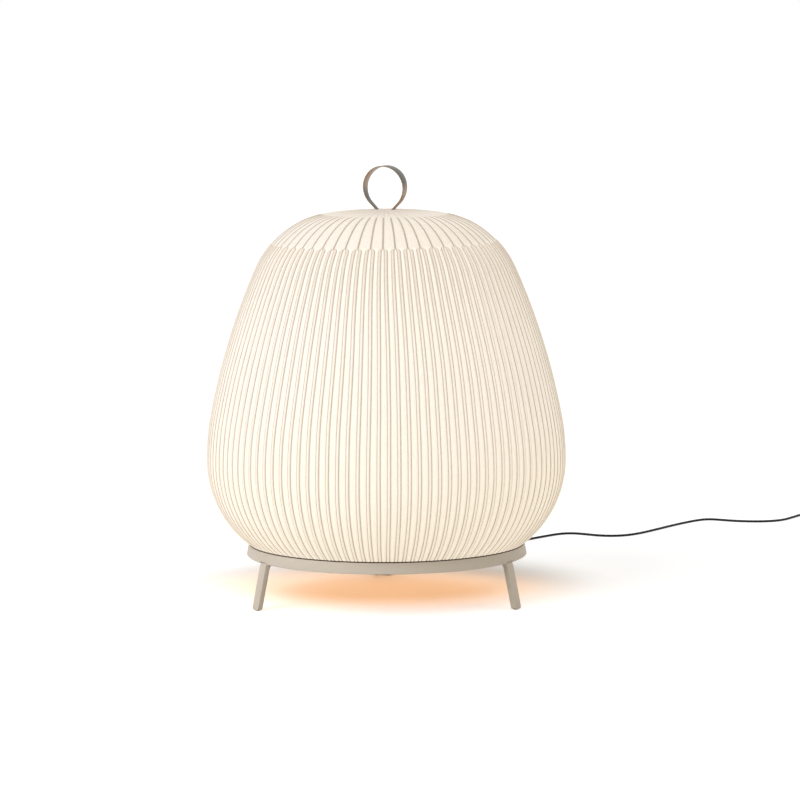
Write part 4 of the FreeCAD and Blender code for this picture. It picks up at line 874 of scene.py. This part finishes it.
def addTie(size):
    low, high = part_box("coil_tie")
    middle = (low + high) / 2
    turn = math.radians(coilSizes["heading"] - 90 + size["turn"])
    outward = Vector((math.cos(turn), math.sin(turn), 0))
    side = Vector((-outward.y, outward.x, 0))
    centre = Vector((*coilSizes["centre"], 0))
    outer = coilSizes["innerRadius"] + coilSizes["pitch"] * coilSizes["turns"] / 2 + size["reach"]
    inner = 2 * (middle - centre).dot(outward) - outer
    thin, corner = size["thickness"], size["corner"]
    right, left = outer - thin / 2 - corner, inner + thin / 2 + corner
    top, bottom = high.z - thin / 2 - corner, thin / 2 + corner
    work = bmesh.new()
    sections = []
    for quarter, (x, z) in enumerate(((right, top), (left, top), (left, bottom), (right, bottom))):
        for step in range(size["cornerSteps"] + 1):
            angle = math.radians(90 * quarter + 90 * step / size["cornerSteps"])
            ring = []
            for depth, across in ((0.5, -0.5), (0.5, 0.5), (-0.5, 0.5), (-0.5, -0.5)):
                reach = corner + thin * depth
                place = centre + outward * (x + reach * math.cos(angle)) + side * (across * size["width"])
                ring.append(work.verts.new((place.x, place.y, z + reach * math.sin(angle))))
            sections.append(ring)
    for index, ring in enumerate(sections):
        following = sections[(index + 1) % len(sections)]
        for spot in range(4):
            beside = (spot + 1) % 4
            work.faces.new((ring[spot], ring[beside], following[beside], following[spot]))
    bmesh.ops.recalc_face_normals(work, faces=work.faces)
    mesh = bpy.data.meshes.new("tie_band")
    work.to_mesh(mesh)
    work.free()
    mesh.materials.append(finish["blackPlastic"])
    band = bpy.data.objects.new("tie_band", mesh)
    scene.collection.objects.link(band)
    return band


tieBand = addTie(tieSizes)
print("tie made")


# floor and light
stageSizes = {"floorHalf": 80, "floorColour": (0.66, 0.68, 0.70), "floorRoughness": 0.9, "floorLift": 0.58,
              "liftCentre": (0.0, 0.21), "liftWide": 1.15, "liftFrom": 0.18, "liftFull": 0.41, "world": 0.36}


# 1 for rays that show the stage itself, 0 for those that light the part
def seenDirectly(tree):
    path = newNode(tree, "ShaderNodeLightPath")
    seen = out(path, "Is Camera Ray") + out(path, "Is Glossy Ray") + out(path, "Is Transmission Ray")
    return seen.calc("MINIMUM", 1.0)


def addFloor(size):
    half = size["floorHalf"]
    mesh = bpy.data.meshes.new("studio_floor")
    corners = [(-half, -half, 0), (half, -half, 0), (half, half, 0), (-half, half, 0)]
    mesh.from_pydata(corners, [], [(0, 1, 2, 3)])
    material, tree, shader, _ = newMaterial("studioFloor")
    shader.inputs["Base Color"].default_value = (*size["floorColour"], 1)
    shader.inputs["Roughness"].default_value = size["floorRoughness"]
    shader.inputs["Specular IOR Level"].default_value = 0.0
    place = newNode(tree, "ShaderNodeSeparateXYZ", Vector=objectPlace(tree))
    right = (out(place, "X") - size["liftCentre"][0]) / size["liftWide"]
    back = out(place, "Y") - size["liftCentre"][1]
    away = (right * right + back * back).calc("SQRT")
    # the camera-only white lift fades in away from the lamp; the real shadow and glow show only inside this
    # ellipse, so the ellipse paints where the shadow ends
    clear = away.smooth(size["liftFrom"], size["liftFull"])  # under the lamp the floor keeps its shadow
    feed(tree, seenDirectly(tree) * clear * size["floorLift"], shader.inputs["Emission Strength"])
    shader.inputs["Emission Color"].default_value = (1, 1, 1, 1)
    mesh.materials.append(material)
    floor = bpy.data.objects.new("studio_floor", mesh)
    scene.collection.objects.link(floor)


def addWorld(size):
    world = bpy.data.worlds.new("studio_world")
    scene.world = world
    world.use_nodes = True
    tree = world.node_tree
    background = tree.nodes["Background"]
    background.inputs["Color"].default_value = (1, 1, 1, 1)
    feed(tree, choose(seenDirectly(tree), 1.0, size["world"]), background.inputs["Strength"])


lamps = {
    "key_left": {"from": (-0.7, -0.75, 0.8), "spread": 35, "strength": 1.52, "colour": (1, 1, 1)},
    "side_left": {"from": (-1.0, -0.2, 0.27), "spread": 40, "strength": 0.5, "colour": (1, 1, 1)},
    "fill_right": {"from": (1.0, -0.5, 1.1), "spread": 60, "strength": 0.72, "colour": (1, 0.87, 0.67)},
}
floorGlow = {"place": (-0.055, 0.11, 0.087), "wide": 0.71, "deep": 0.48, "power": 1.02,
             "colour": (1.0, 0.52, 0.24)}


def addLamp(name, size):
    data = bpy.data.lights.new(name, "SUN")
    data.angle = math.radians(size["spread"])
    data.energy = size["strength"]
    data.color = size["colour"]
    lamp = bpy.data.objects.new(name, data)
    lamp.rotation_euler = (-Vector(size["from"])).to_track_quat("-Z", "Y").to_euler()
    scene.collection.objects.link(lamp)


# warm light that leaves the shade through the open base
def addFloorGlow(size):
    data = bpy.data.lights.new("floor_glow", "AREA")
    data.shape = "ELLIPSE"
    data.size = size["wide"]
    data.size_y = size["deep"]
    data.energy = size["power"]
    data.color = size["colour"]
    lamp = bpy.data.objects.new("floor_glow", data)
    lamp.location = size["place"]
    scene.collection.objects.link(lamp)


addFloor(stageSizes)
addWorld(stageSizes)
addFloorGlow(floorGlow)
for name, size in lamps.items():
    addLamp(name, size)
print("stage lit")


# what rides on what
for piece in (shadeKnit, shadeLining, cordLead, cordRun, innerLead, tieBand):
    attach(piece, "lamp")
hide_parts("shade_knit")
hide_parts("cord_lead")
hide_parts("cord_run", "cord_coil", "cord_tail")
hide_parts("inner_lead")
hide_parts("coil_tie")
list(along(cordSizes["switch"], cordSizes["switchTurn"], cordSizes["switchEnd"]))
